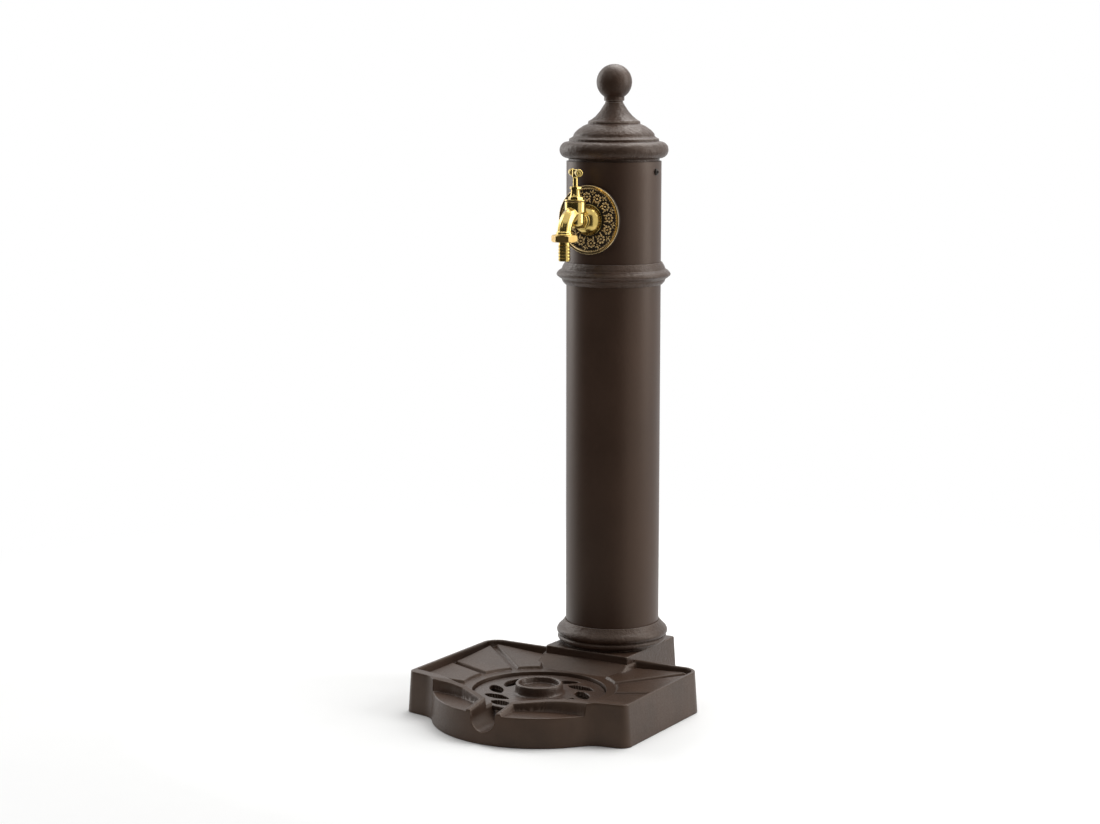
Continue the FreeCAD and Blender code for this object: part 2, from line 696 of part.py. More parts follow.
def basin_outline(inset):
    """Corners of the basin inside the rim, drawn in by inset. The back corners are cut by the
    side of an octagon, so that the rim stays thick round the tray's rounded corner."""
    half = TRAY_WIDTH / 2 - RIM_WIDTH - inset
    back = -TRAY_BACK - RIM_WIDTH - inset
    octagon = math.tan(math.radians(45 / 2))
    cut = (BACK_CORNER_RADIUS - RIM_WIDTH - inset) * (1 - octagon)
    angle = math.radians(LOBE_ANGLE)
    shoulder = LOBE_RADIUS - RIM_WIDTH - inset
    right = [(half - cut, back), (half, back - cut), (half, -TRAY_CORNER + RIM_WIDTH + inset),
             (shoulder * math.cos(angle), -DRAIN_REACH - shoulder * math.sin(angle))]
    right += front_rim_points(-inset)
    return right + [(-x, y) for x, y in reversed(right)]


def basin_space(rise):
    """Everything above the basin's floor, which falls evenly towards the drain."""
    low = GRATE_TOP + BASIN_STEP + rise
    far = TRAY_WIDTH
    space = turned([(0, low), (SEAT_RADIUS, low),
                    (far, low + (far - SEAT_RADIUS) * BASIN_SLOPE), (far, 2 * TRAY_HEIGHT),
                    (0, 2 * TRAY_HEIGHT)])
    return moved(space, 0, -DRAIN_REACH)


def pad_sector(first, last):
    """Wedge about the drain between two angles, counted from straight back, less half a groove."""
    reach = TRAY_WIDTH
    points = [(0, -DRAIN_REACH)]
    for angle in (first, (first + last) / 2, last):
        turn = math.radians(90 - angle)
        points.append((reach * math.cos(turn), -DRAIN_REACH + reach * math.sin(turn)))
    wedge = prism(points, GRATE_FOOT, TRAY_HEIGHT)
    grooves = []
    for angle in (first, last):
        groove = block((-PAD_GROOVE / 2, 0, GRATE_FOOT - 1), (PAD_GROOVE / 2, reach, TRAY_HEIGHT))
        groove.rotate(vector(0, 0, 0), UP, -angle)
        grooves.append(moved(groove, 0, -DRAIN_REACH))
    return wedge.cut(grooves)


def tray_pads():
    """Raised pads between radial grooves, three on each side of the column."""
    field = prism(basin_outline(PAD_EDGE), GRATE_FOOT, TRAY_HEIGHT)
    field = field.cut([basin_space(PAD_RISE),
                       rod(GRATE_RADIUS + PAD_MARGIN, 0, TRAY_HEIGHT, 0, -DRAIN_REACH)])
    pads = []
    for first, last in zip(PAD_ANGLES, PAD_ANGLES[1:]):
        pad = field.common(pad_sector(first, last))
        pads += [pad, mirrored(pad)]
    return pads


def apron():
    """Ramp that falls from the plinth's face and runs out just before the seat of the grate."""
    half = PLINTH_WIDTH / 2 + PLINTH_DRAFT
    inside = -DRAIN_REACH + SUMP_RADIUS
    points = [vector(-half, -PLINTH_FRONT + PLINTH_DRAFT, GRATE_FOOT - 1),
              vector(-half, -PLINTH_FRONT + PLINTH_DRAFT, APRON_HEIGHT),
              vector(-half, -PLINTH_FRONT - PLINTH_DRAFT, APRON_HEIGHT),
              vector(-half, inside, GRATE_FOOT), vector(-half, inside, GRATE_FOOT - 1)]
    return Part.Face(closed_wire(points[0], points[1:])).extrude(RIGHT * (2 * half))


def front_slope():
    """Space above the rim's front, which falls to the lobe and again along the spillway."""
    shoulder = -DRAIN_REACH - LOBE_RADIUS * math.sin(math.radians(LOBE_ANGLE))
    bend = -DRAIN_REACH - FRONT_RIM_RADIUS - FRONT_RIM_WIDTH
    front = -DRAIN_REACH - LOBE_RADIUS - TRAY_DRAFT - 1
    low = TRAY_HEIGHT - RIM_DROP
    high = 2 * TRAY_HEIGHT
    half = TRAY_WIDTH / 2 + TRAY_DRAFT + 1
    points = [vector(-half, shoulder, TRAY_HEIGHT), vector(-half, bend, low),
              vector(-half, front, low - LIP_DROP), vector(-half, front, high),
              vector(-half, shoulder, high)]
    return Part.Face(closed_wire(points[0], points[1:])).extrude(RIGHT * (2 * half))


def lobe_shelf():
    """Space above the flat shelf on the right of the spillway."""
    rim = front_rim_points(FRONT_RIM_WIDTH)
    lip = CHANNEL_WIDTH / 2 + FRONT_RIM_WIDTH
    far = TRAY_WIDTH / 2 + TRAY_DRAFT + 10
    shoulder = -DRAIN_REACH - (LOBE_RADIUS + 2) * math.sin(math.radians(LOBE_ANGLE))
    front = -DRAIN_REACH - LOBE_RADIUS - TRAY_DRAFT - 1
    slope = (rim[1][1] - rim[0][1]) / (rim[0][0] - rim[1][0])
    lip_y = rim[0][1] + slope * (rim[0][0] - lip)
    points = [(far, shoulder - 6), (LOBE_RADIUS * 0.9, shoulder - 6), rim[0], (lip, lip_y),
              (lip, front), (far, front)]
    return prism(points, SHELF_HEIGHT, TRAY_HEIGHT + 1)


def spillway():
    """Round-bottomed channel from the sump out through the front."""
    half = CHANNEL_WIDTH / 2
    front = -DRAIN_REACH - LOBE_RADIUS - TRAY_DRAFT - 1
    centre = SUMP_FLOOR + half
    groove = rod_back(half, front, -DRAIN_REACH - SUMP_RADIUS / 2, 0, centre)
    above = block((-half, front, centre), (half, -DRAIN_REACH - SUMP_RADIUS / 2, TRAY_HEIGHT + 1))
    return fused([groove, above])


def tray_underside():
    """Space under the tray: its walls, floor and sump housing keep an even thickness."""
    roof = GRATE_TOP + BASIN_STEP - TRAY_WALL
    foot = Part.Face(tray_outline(-TRAY_WALL, -1)).extrude(UP * (roof + 1))
    sump = rod(SEAT_RADIUS + TRAY_WALL, SUMP_FLOOR - TRAY_WALL, roof + 1, 0, -DRAIN_REACH)
    housing = CHANNEL_WIDTH / 2 + TRAY_WALL
    front = -DRAIN_REACH - LOBE_RADIUS
    channel = block((-housing, front, SUMP_FLOOR - TRAY_WALL), (housing, -DRAIN_REACH, roof + 1))
    notch = block((-NOTCH_SIDE, -NOTCH_FACE, -2), (NOTCH_SIDE, 0, roof + 1))
    return foot.cut([sump, channel, notch])


def tray():
    """Cast drip tray: rim, sloping basin with pads, grate seat, sump, spillway and shelves."""
    foot = tray_outline(TRAY_DRAFT, 0)
    top = tray_outline(0, TRAY_HEIGHT)
    body = Part.makeLoft([foot, top], True, True)
    basin = prism(basin_outline(0), GRATE_FOOT, TRAY_HEIGHT + 1).common(basin_space(0))
    basin = basin.cut(tray_pads() + [apron()])
    shelf = lobe_shelf()
    cuts = [basin, front_slope(), shelf, mirrored(shelf), spillway(), tray_underside(),
            rod(SEAT_RADIUS, GRATE_FOOT, TRAY_HEIGHT, 0, -DRAIN_REACH),
            rod(SUMP_RADIUS, SUMP_FLOOR, TRAY_HEIGHT, 0, -DRAIN_REACH),
            plinth_outside(NOTCH_GAP)]
    for x, z in tray_bolt_places():
        cuts.append(rod_back(BOLT_DIAMETER / 2 + FIT, -NOTCH_FACE - 1, -PLINTH_FRONT_INNER, x, z))
    for space in cuts:
        body = body.cut(space)
    return body


def tray_bolts():
    """Hex bolts with their heads inside the plinth."""
    head = hexagon(BOLT_ACROSS, -BOLT_HEAD_HEIGHT, 0)
    bolt = facing_front(fused([head, rod(BOLT_DIAMETER / 2, 0, BOLT_LENGTH)]), 0)
    return Part.makeCompound([moved(bolt, x, -PLINTH_FRONT_INNER, z)
                              for x, z in tray_bolt_places()])


def tray_nuts():
    nut = hexagon(BOLT_ACROSS, 0, BOLT_NUT_HEIGHT)
    nut = facing_front(nut.cut(rod(BOLT_DIAMETER / 2 + FIT, -1, BOLT_NUT_HEIGHT + 1)), 0)
    return Part.makeCompound([moved(nut, x, -NOTCH_FACE, z) for x, z in tray_bolt_places()])


def grate_slot(length, width, lean, radius, angle):
    """Leaf-shaped slot between two arcs, turned by lean from the spoke that its centre is on."""
    tip = length / 2
    side = width / 2
    foot = GRATE_FOOT - 1
    wire = closed_wire(vector(-tip, 0, foot), [(vector(0, -side, foot), vector(tip, 0, foot)),
                                               (vector(0, side, foot), vector(-tip, 0, foot))])
    slot = Part.Face(wire).extrude(UP * (GRATE_THICKNESS + 2))
    slot.rotate(vector(0, 0, 0), UP, -lean)
    slot.translate(RIGHT * radius)
    slot.rotate(vector(0, 0, 0), UP, angle)
    return slot


def drain_grate():
    """Lift-out grate with a cup, a ring of leaf slots and one hole toward the spillway."""
    cup = CUP_DIAMETER / 2
    cup_top = GRATE_TOP + CUP_RISE
    inner = cup - CUP_WALL
    disc = turned([(0, GRATE_FOOT), (GRATE_RADIUS, GRATE_FOOT), (GRATE_RADIUS, GRATE_TOP),
                   (cup + CUP_DRAFT, GRATE_TOP), (cup, cup_top - CUP_EDGE),
                   (cup - CUP_EDGE, cup_top), (inner + CUP_EDGE, cup_top),
                   (inner, cup_top - CUP_EDGE), (inner - CUP_DRAFT, cup_top - CUP_DEPTH),
                   (0, cup_top - CUP_DEPTH)])
    slots = [grate_slot(FRONT_HOLE_LENGTH, FRONT_HOLE_WIDTH, 90, FRONT_HOLE_RADIUS,
                        FRONT_HOLE_ANGLE)]
    for index in range(GRATE_SLOTS - 1):
        slots.append(grate_slot(SLOT_LENGTH, SLOT_WIDTH, SLOT_SWIRL, SLOT_RADIUS,
                                SLOT_START + 360 / GRATE_SLOTS * index))
    return moved(disc.cut(slots), 0, -DRAIN_REACH)


def spout_bend(radius):
    """Quarter bend from the valve chamber to the outlet's axis, of the given radius."""
    centre = vector(0, -OUTLET_REACH + SPOUT_BEND, OUTLET_TOP)
    start = centre + UP * SPOUT_BEND
    circle = Part.Wire(Part.Circle(start, BACK, radius).toShape())
    bend = Part.Face(circle).revolve(centre, RIGHT, 90)
    inner = rod_back(radius, start.y, -TAP_REACH, 0, start.z)
    return [bend, inner]


def tap_body():
    """Brass body: threaded tail, shoulder, neck, round chamber, upper band, spout and outlet."""
    shoulder_end = SHOULDER_REACH + SHOULDER_LENGTH
    inlet = turned([(0, TAIL_END), (THREAD_RADIUS, TAIL_END), (THREAD_RADIUS, SHOULDER_REACH),
                    (SHOULDER_DIAMETER / 2, SHOULDER_REACH),
                    (SHOULDER_DIAMETER / 2, shoulder_end - TAP_EDGE),
                    (NECK_DIAMETER / 2, shoulder_end + TAP_EDGE),
                    (NECK_DIAMETER / 2, TAP_REACH), (0, TAP_REACH)])
    chamber_centre = vector(0, -TAP_REACH, TAP_HEIGHT + CHAMBER_RISE)
    chamber = Part.makeSphere(CHAMBER_DIAMETER / 2, chamber_centre)
    band = BAND_DIAMETER / 2
    band_foot = BODY_TOP - BAND_HEIGHT
    taper_foot = band_foot - BAND_TAPER
    upper = turned([(0, taper_foot), (CHAMBER_DIAMETER / 2 - 1, taper_foot), (band, band_foot),
                    (band, BODY_TOP - TAP_EDGE), (band - TAP_EDGE, BODY_TOP), (0, BODY_TOP)])
    thread = OUTLET_THREAD / 2
    collar = SPOUT_DIAMETER / 2 + OUTLET_COLLAR_STAND
    collar_top = OUTLET_TOP + OUTLET_COLLAR
    outlet = turned([(0, OUTLET_FOOT), (thread - TAP_EDGE, OUTLET_FOOT),
                     (thread, OUTLET_FOOT + TAP_EDGE), (thread, OUTLET_TOP),
                     (collar, OUTLET_TOP), (collar, collar_top), (0, collar_top)])
    body = fused([facing_front(inlet, TAP_HEIGHT), chamber, moved(upper, 0, -TAP_REACH),
                  moved(outlet, 0, -OUTLET_REACH)] + spout_bend(SPOUT_DIAMETER / 2))
    passage = TAP_HEIGHT - PASSAGE_DROP
    wet = TAP_REACH - NECK_LENGTH + SHOULDER_LENGTH
    cuts = [rod_back(TAIL_BORE / 2, -wet, -TAIL_END + 1, 0, TAP_HEIGHT),
            rod_back(PASSAGE_DIAMETER / 2, -TAP_REACH, -wet + 1, 0, passage),
            rod(SEAT_BORE / 2, passage, SEAT_HEIGHT + 1, 0, -TAP_REACH),
            rod(CHAMBER_BORE / 2, SEAT_HEIGHT, BODY_TOP, 0, -TAP_REACH),
            rod(BONNET_THREAD / 2 + FIT, BODY_TOP - BONNET_ENGAGE, BODY_TOP + 1, 0, -TAP_REACH),
            rod(SPOUT_BORE / 2, OUTLET_FOOT - 1, OUTLET_TOP, 0, -OUTLET_REACH)]
    return body.cut(cuts + spout_bend(SPOUT_BORE / 2))


def on_valve_axis(shape):
    return moved(shape, 0, -TAP_REACH)


def bonnet_gasket():
    gasket = ring(BAND_DIAMETER / 2 - TAP_EDGE, BONNET_THREAD / 2 + FIT, BODY_TOP, FLANGE_FOOT)
    return on_valve_axis(gasket)


def tap_bonnet():
    """Screwed-in head of the tap: threaded plug, flange, spanner hexagon and packing neck."""
    flange_top = FLANGE_FOOT + FLANGE_THICKNESS
    wide = FLANGE_DIAMETER / 2
    plug = turned([(0, BODY_TOP - BONNET_ENGAGE), (BONNET_THREAD / 2, BODY_TOP - BONNET_ENGAGE),
                   (BONNET_THREAD / 2, FLANGE_FOOT), (wide, FLANGE_FOOT),
                   (wide, flange_top - FLANGE_EDGE), (wide - FLANGE_EDGE, flange_top),
                   (0, flange_top)])
    hexagonal = hexagon(BONNET_ACROSS, flange_top, HEX_TOP)
    neck = rod(BONNET_NECK_DIAMETER / 2, HEX_TOP, NECK_TOP)
    body = fused([plug, hexagonal, neck])
    thread_top = PACKING_FOOT - PACKING_SHELF
    cuts = [rod(SPINDLE_THREAD / 2 + RUNNING, BODY_TOP - BONNET_ENGAGE - 1, thread_top),
            rod(STEM_DIAMETER / 2 + RUNNING, thread_top - 1, PACKING_FOOT + 1),
            rod(PACKING_DIAMETER / 2, PACKING_FOOT, NECK_TOP + 1)]
    return on_valve_axis(body.cut(cuts))


def gland_packing():
    packing = ring(PACKING_DIAMETER / 2 - FIT, STEM_DIAMETER / 2 + RUNNING,
                   PACKING_FOOT, PACKING_FOOT + PACKING_LENGTH)
    return on_valve_axis(packing)


def gland_nut():
    """Threaded gland with a hexagonal head; it presses the packing round the stem."""
    foot = PACKING_FOOT + PACKING_LENGTH
    nut = fused([rod(PACKING_DIAMETER / 2 - FIT, foot, NECK_TOP),
                 hexagon(GLAND_ACROSS, NECK_TOP, NECK_TOP + GLAND_HEAD, NUT_TURN)])
    hole = rod(STEM_DIAMETER / 2 + RUNNING, foot - 1, NECK_TOP + GLAND_HEAD + 1)
    return on_valve_axis(nut.cut(hole))


def valve_jumper():
    """Loose jumper valve: a plate, a stem in the spindle's foot and a pin through its washer."""
    plate = rod(VALVE_WASHER_DIAMETER / 2 + JUMPER_RIM, PLATE_FOOT, PLATE_TOP)
    stem = rod(JUMPER_STEM / 2, PLATE_TOP, PLATE_TOP + JUMPER_STEM_LENGTH)
    pin = rod(JUMPER_PIN / 2, PLATE_FOOT - JUMPER_PIN_LENGTH, PLATE_FOOT)
    return on_valve_axis(fused([plate, stem, pin]))


def valve_washer():
    washer = ring(VALVE_WASHER_DIAMETER / 2, JUMPER_PIN / 2 + FIT, SEAT_HEIGHT, PLATE_FOOT)
    return on_valve_axis(washer)


def handle_direction():
    turn = math.radians(BAR_ANGLE)
    return vector(math.cos(turn), math.sin(turn), 0)


def spindle():
    """Threaded spindle with a plain stem and a hub bored for the bar."""
    thread = rod(SPINDLE_THREAD / 2, PLATE_TOP, PLATE_TOP + SPINDLE_THREAD_LENGTH)
    hub_foot = HANDLE_HEIGHT - HUB_HEIGHT / 2
    hub_top = HANDLE_HEIGHT + HUB_HEIGHT / 2
    wide = HUB_DIAMETER / 2
    stem = rod(STEM_DIAMETER / 2, PLATE_TOP, hub_foot)
    hub = turned([(0, hub_foot), (wide - HUB_EDGE, hub_foot), (wide, hub_foot + HUB_EDGE),
                  (wide, hub_top - HUB_EDGE), (wide - HUB_EDGE, hub_top), (0, hub_top)])
    socket = rod(JUMPER_STEM / 2 + RUNNING, PLATE_TOP - 1, PLATE_TOP + JUMPER_STEM_LENGTH + 1)
    along = handle_direction()
    hole = Part.makeCylinder(BAR_DIAMETER / 2, HUB_DIAMETER + 4,
                             vector(0, 0, HANDLE_HEIGHT) - along * (HUB_DIAMETER / 2 + 2), along)
    return on_valve_axis(fused([thread, stem, hub]).cut([socket, hole]))


def along_handle(shape):
    """Places a piece made about +Z along the handle's bar, centred on the valve axis."""
    copy = shape.copy()
    copy.rotate(vector(0, 0, 0), BACK, 90)
    copy.rotate(vector(0, 0, 0), UP, BAR_ANGLE)
    copy.translate(vector(0, -TAP_REACH, HANDLE_HEIGHT))
    return copy


def handle_bar():
    end = BAR_LENGTH / 2 - DRUM_END
    return along_handle(rod(BAR_DIAMETER / 2, -end, end))


def handle_ends():
    """Two drums pressed on the ends of the bar, each with a blind hole."""
    wide = DRUM_DIAMETER / 2
    end = BAR_LENGTH / 2
    start = end - DRUM_LENGTH
    hole = BAR_DIAMETER / 2
    drum = turned([(hole, start), (wide - DRUM_EDGE, start), (wide, start + DRUM_EDGE),
                   (wide, end - DRUM_EDGE), (wide - DRUM_EDGE, end), (0, end),
                   (0, end - DRUM_END), (hole, end - DRUM_END)])
    other = drum.copy()
    other.rotate(vector(0, 0, 0), RIGHT, 180)
    return Part.makeCompound([along_handle(drum), along_handle(other)])


def on_outlet_axis(shape):
    return moved(shape, 0, -OUTLET_REACH)


def union_nut():
    """Hexagonal nut on the outlet's thread; its lip holds the hose tail up."""
    top = UNION_FOOT + UNION_HEIGHT
    corner = UNION_ACROSS / 2 / math.cos(math.radians(30))
    rise = UNION_EDGE * 0.7
    chamfer = turned([(0, UNION_FOOT), (corner - UNION_EDGE, UNION_FOOT),
                      (corner, UNION_FOOT + rise), (corner, top - rise),
                      (corner - UNION_EDGE, top), (0, top)])
    body = hexagon(UNION_ACROSS, UNION_FOOT, top, NUT_TURN).common(chamfer)
    cuts = [rod(BARB_ROOT / 2 + UNION_ROOM, UNION_FOOT - 1, UNION_TOP_THREAD),
            rod(OUTLET_THREAD / 2 + RUNNING, UNION_TOP_THREAD, top + 1)]
    return on_outlet_axis(body.cut(cuts))


def tail_washer():
    foot = UNION_TOP_THREAD + TAIL_FLANGE
    return on_outlet_axis(ring(TAIL_FLANGE_DIAMETER / 2, SPOUT_BORE / 2, foot, OUTLET_FOOT))


def hose_tail():
    """Barbed tail for the hose, with the flange that the union nut lifts."""
    flange = TAIL_FLANGE_DIAMETER / 2
    root = BARB_ROOT / 2
    crest = BARB_DIAMETER / 2
    bore = BARB_BORE / 2
    end = UNION_FOOT - TAIL_DROP
    top = UNION_TOP_THREAD + TAIL_FLANGE
    profile = [(bore, top), (bore, end), (root - 0.5, end)]
    for index in range(BARB_COUNT):
        foot = end + index * BARB_PITCH
        profile += [(crest, foot + 0.75 * BARB_PITCH), (root, foot + BARB_PITCH)]
    profile += [(root, UNION_TOP_THREAD), (flange, UNION_TOP_THREAD), (flange, top)]
    return on_outlet_axis(turned(profile))


def rosette():
    """Flat round wall plate with a raised rim and a circle of flower bosses."""
    radius = ROSETTE_DIAMETER / 2
    back = TUBE_RADIUS
    face = ROSETTE_FACE
    hole = THREAD_RADIUS + SCREW_CLEARANCE
    edge = ROSETTE_EDGE
    plate = turned([(hole, back), (radius - edge, back), (radius, back + edge),
                    (radius, face + ROSETTE_RIM_RISE - edge),
                    (radius - edge, face + ROSETTE_RIM_RISE),
                    (radius - ROSETTE_RIM + edge, face + ROSETTE_RIM_RISE),
                    (radius - ROSETTE_RIM, face), (hole, face)])
    petals = FLOWER_DIAMETER / 2
    low = face - FLOWER_RISE / 2
    middle = face + FLOWER_RISE / 3
    high = face + FLOWER_RISE
    bead = FLOWER_BEAD / 2
    flower = turned([(0, low), (petals, low), (petals, middle), (petals - FLOWER_EDGE, high),
                     (2 * bead, middle), (bead, high), (0, high)])
    flowers = []
    for index in range(FLOWER_COUNT):
        boss = moved(flower, FLOWER_CIRCLE / 2, 0)
        boss.rotate(vector(0, 0, 0), UP, FLOWER_START + 360 / FLOWER_COUNT * index)
        flowers.append(boss)
    return facing_front(fused([plate] + flowers), TAP_HEIGHT)


def dome_cover():
    """Hollow bell that covers the hole in the wall plate."""
    wide = DOME_DIAMETER / 2
    narrow = THREAD_RADIUS + FIT
    foot = ROSETTE_FACE
    top = SHOULDER_REACH
    wall = DOME_WALL
    shoulder = foot + 0.62 * (top - foot)
    middle = (wide - DOME_SHOULDER, shoulder)
    inner_middle = (wide - DOME_SHOULDER - wall, shoulder - wall / 2)
    bell = turned([(wide, foot), (wide, foot + DOME_EDGE), (middle, (narrow + DOME_CROWN, top)),
                   (narrow, top), (narrow, top - wall), (inner_middle, (wide - wall, foot))])
    return facing_front(bell, TAP_HEIGHT)


def tap_saddle():
    """Block inside the tube: curved to the wall on one side, flat for the locknut."""
    half = SADDLE_WIDTH / 2
    body = block((-half, -TUBE_RADIUS, TAP_HEIGHT - half), (half, -SADDLE_DEPTH, TAP_HEIGHT + half))
    body = body.common(rod(TUBE_INNER - FIT, TAP_HEIGHT - half - 1, TAP_HEIGHT + half + 1))
    return body.cut(rod_back(THREAD_RADIUS + FIT, -TUBE_RADIUS, 0, 0, TAP_HEIGHT))


def locknut(face, end, height):
    """Locknut on the half inch thread between two places along Y."""
    nut = hexagon(LOCKNUT_ACROSS, 0, end - face).cut(rod(THREAD_RADIUS + FIT, -1, end - face + 1))
    return moved(facing_front(nut, 0), 0, end, height)


def tap_locknut():
    return locknut(-SADDLE_DEPTH, -ELBOW_FACE, TAP_HEIGHT)


def elbow():
    """Pipe elbow with its socket for the riser along +Z and its threaded mouth along +Y."""
    radius = ELBOW_DIAMETER / 2
    mouth = ELBOW_FACE - RISER_REACH
    body = fused([Part.makeSphere(radius), rod(radius, 0, ELBOW_ARM),
                  rod_back(radius, 0, mouth, 0, 0)])
    waterway = RISER_DIAMETER / 2 - RISER_WALL
    cuts = [rod(waterway, 0, ELBOW_ARM + 1), rod_back(waterway, 0, mouth, 0, 0),
            rod(RISER_DIAMETER / 2 + FIT, ELBOW_ARM - ELBOW_SOCKET, ELBOW_ARM + 1),
            rod_back(THREAD_RADIUS + FIT, mouth - TAIL_IN_ELBOW, mouth + 1, 0, 0)]
    return body.cut(cuts)


def tap_elbow():
    """Elbow behind the tap: mouth to the front, socket downwards."""
    turned_elbow = elbow()
    turned_elbow.rotate(vector(0, 0, 0), RIGHT, 180)
    return moved(turned_elbow, 0, -RISER_REACH, TAP_HEIGHT)


def foot_elbow():
    """Elbow in the plinth: mouth to the back, socket upwards."""
    return moved(elbow(), 0, -RISER_REACH, SUPPLY_HEIGHT)


def riser_pipe():
    radius = RISER_DIAMETER / 2
    return ring(radius, radius - RISER_WALL, RISER_FOOT, RISER_TOP, 0, -RISER_REACH)


def riser_nuts():
    """Compression nuts at the two ends of the riser."""
    nut = hexagon(RISER_NUT_ACROSS, 0, RISER_NUT_HEIGHT)
    nut = nut.cut(rod(RISER_DIAMETER / 2 + FIT, -1, RISER_NUT_HEIGHT + 1))
    lower = SUPPLY_HEIGHT + ELBOW_ARM
    upper = TAP_HEIGHT - ELBOW_ARM - RISER_NUT_HEIGHT
    return Part.makeCompound([moved(nut, 0, -RISER_REACH, lower),
                              moved(nut, 0, -RISER_REACH, upper)])


def supply_pipe():
    """Inlet nipple from the foot elbow out through the plinth's back, with a hexagonal flange
    against the boss and a relief groove between the flange and its free thread."""
    start = ELBOW_FACE - 2 * RISER_REACH - TAIL_IN_ELBOW
    flange_end = BOSS_FACE + SUPPLY_FLANGE
    relief_end = flange_end + SUPPLY_RELIEF
    end = relief_end + SUPPLY_FREE
    flange = moved(facing_front(hexagon(LOCKNUT_ACROSS, 0, SUPPLY_FLANGE), 0), 0, flange_end,
                   SUPPLY_HEIGHT)
    neck = rod_back(THREAD_RADIUS - SUPPLY_RELIEF, BOSS_FACE, end, 0, SUPPLY_HEIGHT)
    pipe = fused([rod_back(THREAD_RADIUS, start, flange_end, 0, SUPPLY_HEIGHT), flange, neck,
                  rod_back(THREAD_RADIUS, relief_end, end, 0, SUPPLY_HEIGHT)])
    return pipe.cut(rod_back(SUPPLY_BORE / 2, start - 1, end + 1, 0, SUPPLY_HEIGHT))


def supply_locknut():
    return locknut(PLINTH_BACK_INNER - LOCKNUT_THICKNESS, PLINTH_BACK_INNER, SUPPLY_HEIGHT)


PIECES = [tray, plinth, tray_bolts, tray_nuts, drain_grate, column_tube, base_collar, mid_collar,
          collar_screws, column_screws, cap, cap_screws, finial, finial_stud, finial_washer,
          finial_nut, rosette, dome_cover, tap_saddle, tap_locknut, tap_elbow, riser_pipe,
          riser_nuts, foot_elbow, supply_pipe, supply_locknut, tap_body, bonnet_gasket,
          tap_bonnet, gland_packing, gland_nut, valve_jumper, valve_washer, spindle, handle_bar,
          handle_ends, union_nut, tail_washer, hose_tail]

os.makedirs("parts", exist_ok=True)
for piece in PIECES:
    piece().exportStep("parts/" + piece.__name__ + ".step")
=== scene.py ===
"""A garden fountain, dressed for show: cast iron, steel tube and a brass tap round a fixed frame.

Shapes are worked out in millimetres and put into their meshes in metres. Each shape is a grid of
points, a function of two parameters, so a piece keeps its place when a size is changed.
"""

import bmesh
import bpy
import numpy as np
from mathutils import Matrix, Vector


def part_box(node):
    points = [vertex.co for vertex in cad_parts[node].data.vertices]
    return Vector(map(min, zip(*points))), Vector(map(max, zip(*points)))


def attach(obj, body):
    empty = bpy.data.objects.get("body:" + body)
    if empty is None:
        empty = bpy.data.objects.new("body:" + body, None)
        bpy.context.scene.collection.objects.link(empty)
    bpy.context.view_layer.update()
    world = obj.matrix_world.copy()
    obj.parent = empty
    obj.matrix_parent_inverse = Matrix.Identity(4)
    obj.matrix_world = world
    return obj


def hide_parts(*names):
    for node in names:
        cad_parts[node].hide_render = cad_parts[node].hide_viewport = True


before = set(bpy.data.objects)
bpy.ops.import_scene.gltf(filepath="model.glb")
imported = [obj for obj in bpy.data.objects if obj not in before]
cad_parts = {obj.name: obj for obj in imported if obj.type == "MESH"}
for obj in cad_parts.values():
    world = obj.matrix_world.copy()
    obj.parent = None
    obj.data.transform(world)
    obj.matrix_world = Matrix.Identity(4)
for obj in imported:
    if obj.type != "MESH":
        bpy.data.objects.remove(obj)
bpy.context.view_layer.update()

bl_info = {
    "name": "Garden fountain",
    "version": (1, 0, 0),
    "blender": (4, 5, 0),
    "location": "View3D > Sidebar > Fountain",
    "description": "Builds the pieces of a garden fountain, their finishes and a plain studio",
    "category": "Object",
}

MM = 0.001
FULL_TURN = 2 * np.pi
SKIN_GRAIN, SKIN_LUMP = 2.2, 5.5
MERGE_GAP, SLIVER = 0.01 * MM, 0.002 * MM
HASH_FACTORS, HASH_SPREAD = (73856093, 19349663, 83492791), 1274126177


def linear(hex_colour):
    """An sRGB hex colour as linear red, green and blue."""
    parts = np.array([int(hex_colour[i:i + 2], 16) for i in (1, 3, 5)]) / 255
    low = parts / 12.92
    high = ((parts + 0.055) / 1.055) ** 2.4
    return tuple(float(v) for v in np.where(parts <= 0.04045, low, high))


def length_size(name, description, millimetres):
    """A length that the user may change, given here in millimetres."""
    return bpy.props.FloatProperty(name=name, description=description,
                                   default=millimetres * MM, unit="LENGTH", precision=5)


def finish_colour(name, description, hex_colour):
    """A colour that the user may change, given here as sRGB hex."""
    return bpy.props.FloatVectorProperty(name=name, description=description, subtype="COLOR",
                                         size=3, min=0, max=1, default=linear(hex_colour))


class FountainSizes(bpy.types.PropertyGroup):
    """Sizes that a user may want to change, each in real length."""
    tube_radius: length_size("Tube radius", "Outside of the column's steel tube", 69.85)
    tube_wall: length_size("Tube wall", "Wall of the column's steel tube", 3.0)
    ball_radius: length_size("Ball radius", "Ball on top of the cap", 26.0)
    plate_radius: length_size("Wall plate radius", "Round brass plate behind the tap", 50.5)
    plate_relief: length_size("Relief", "How far the flowers stand out of the wall plate", 2.1)
    grate_radius: length_size("Grate radius", "Outside of the lift-out drain grate", 94.5)
    rim_height: length_size("Rim height", "Top of the tray's rim above the floor", 60.0)
    cast_roughness: length_size("Cast roughness", "Depth of the sand-cast skin", 0.16)
    hose_radius: length_size("Hose tail radius", "Over the ribs of the hose tail", 9.0)


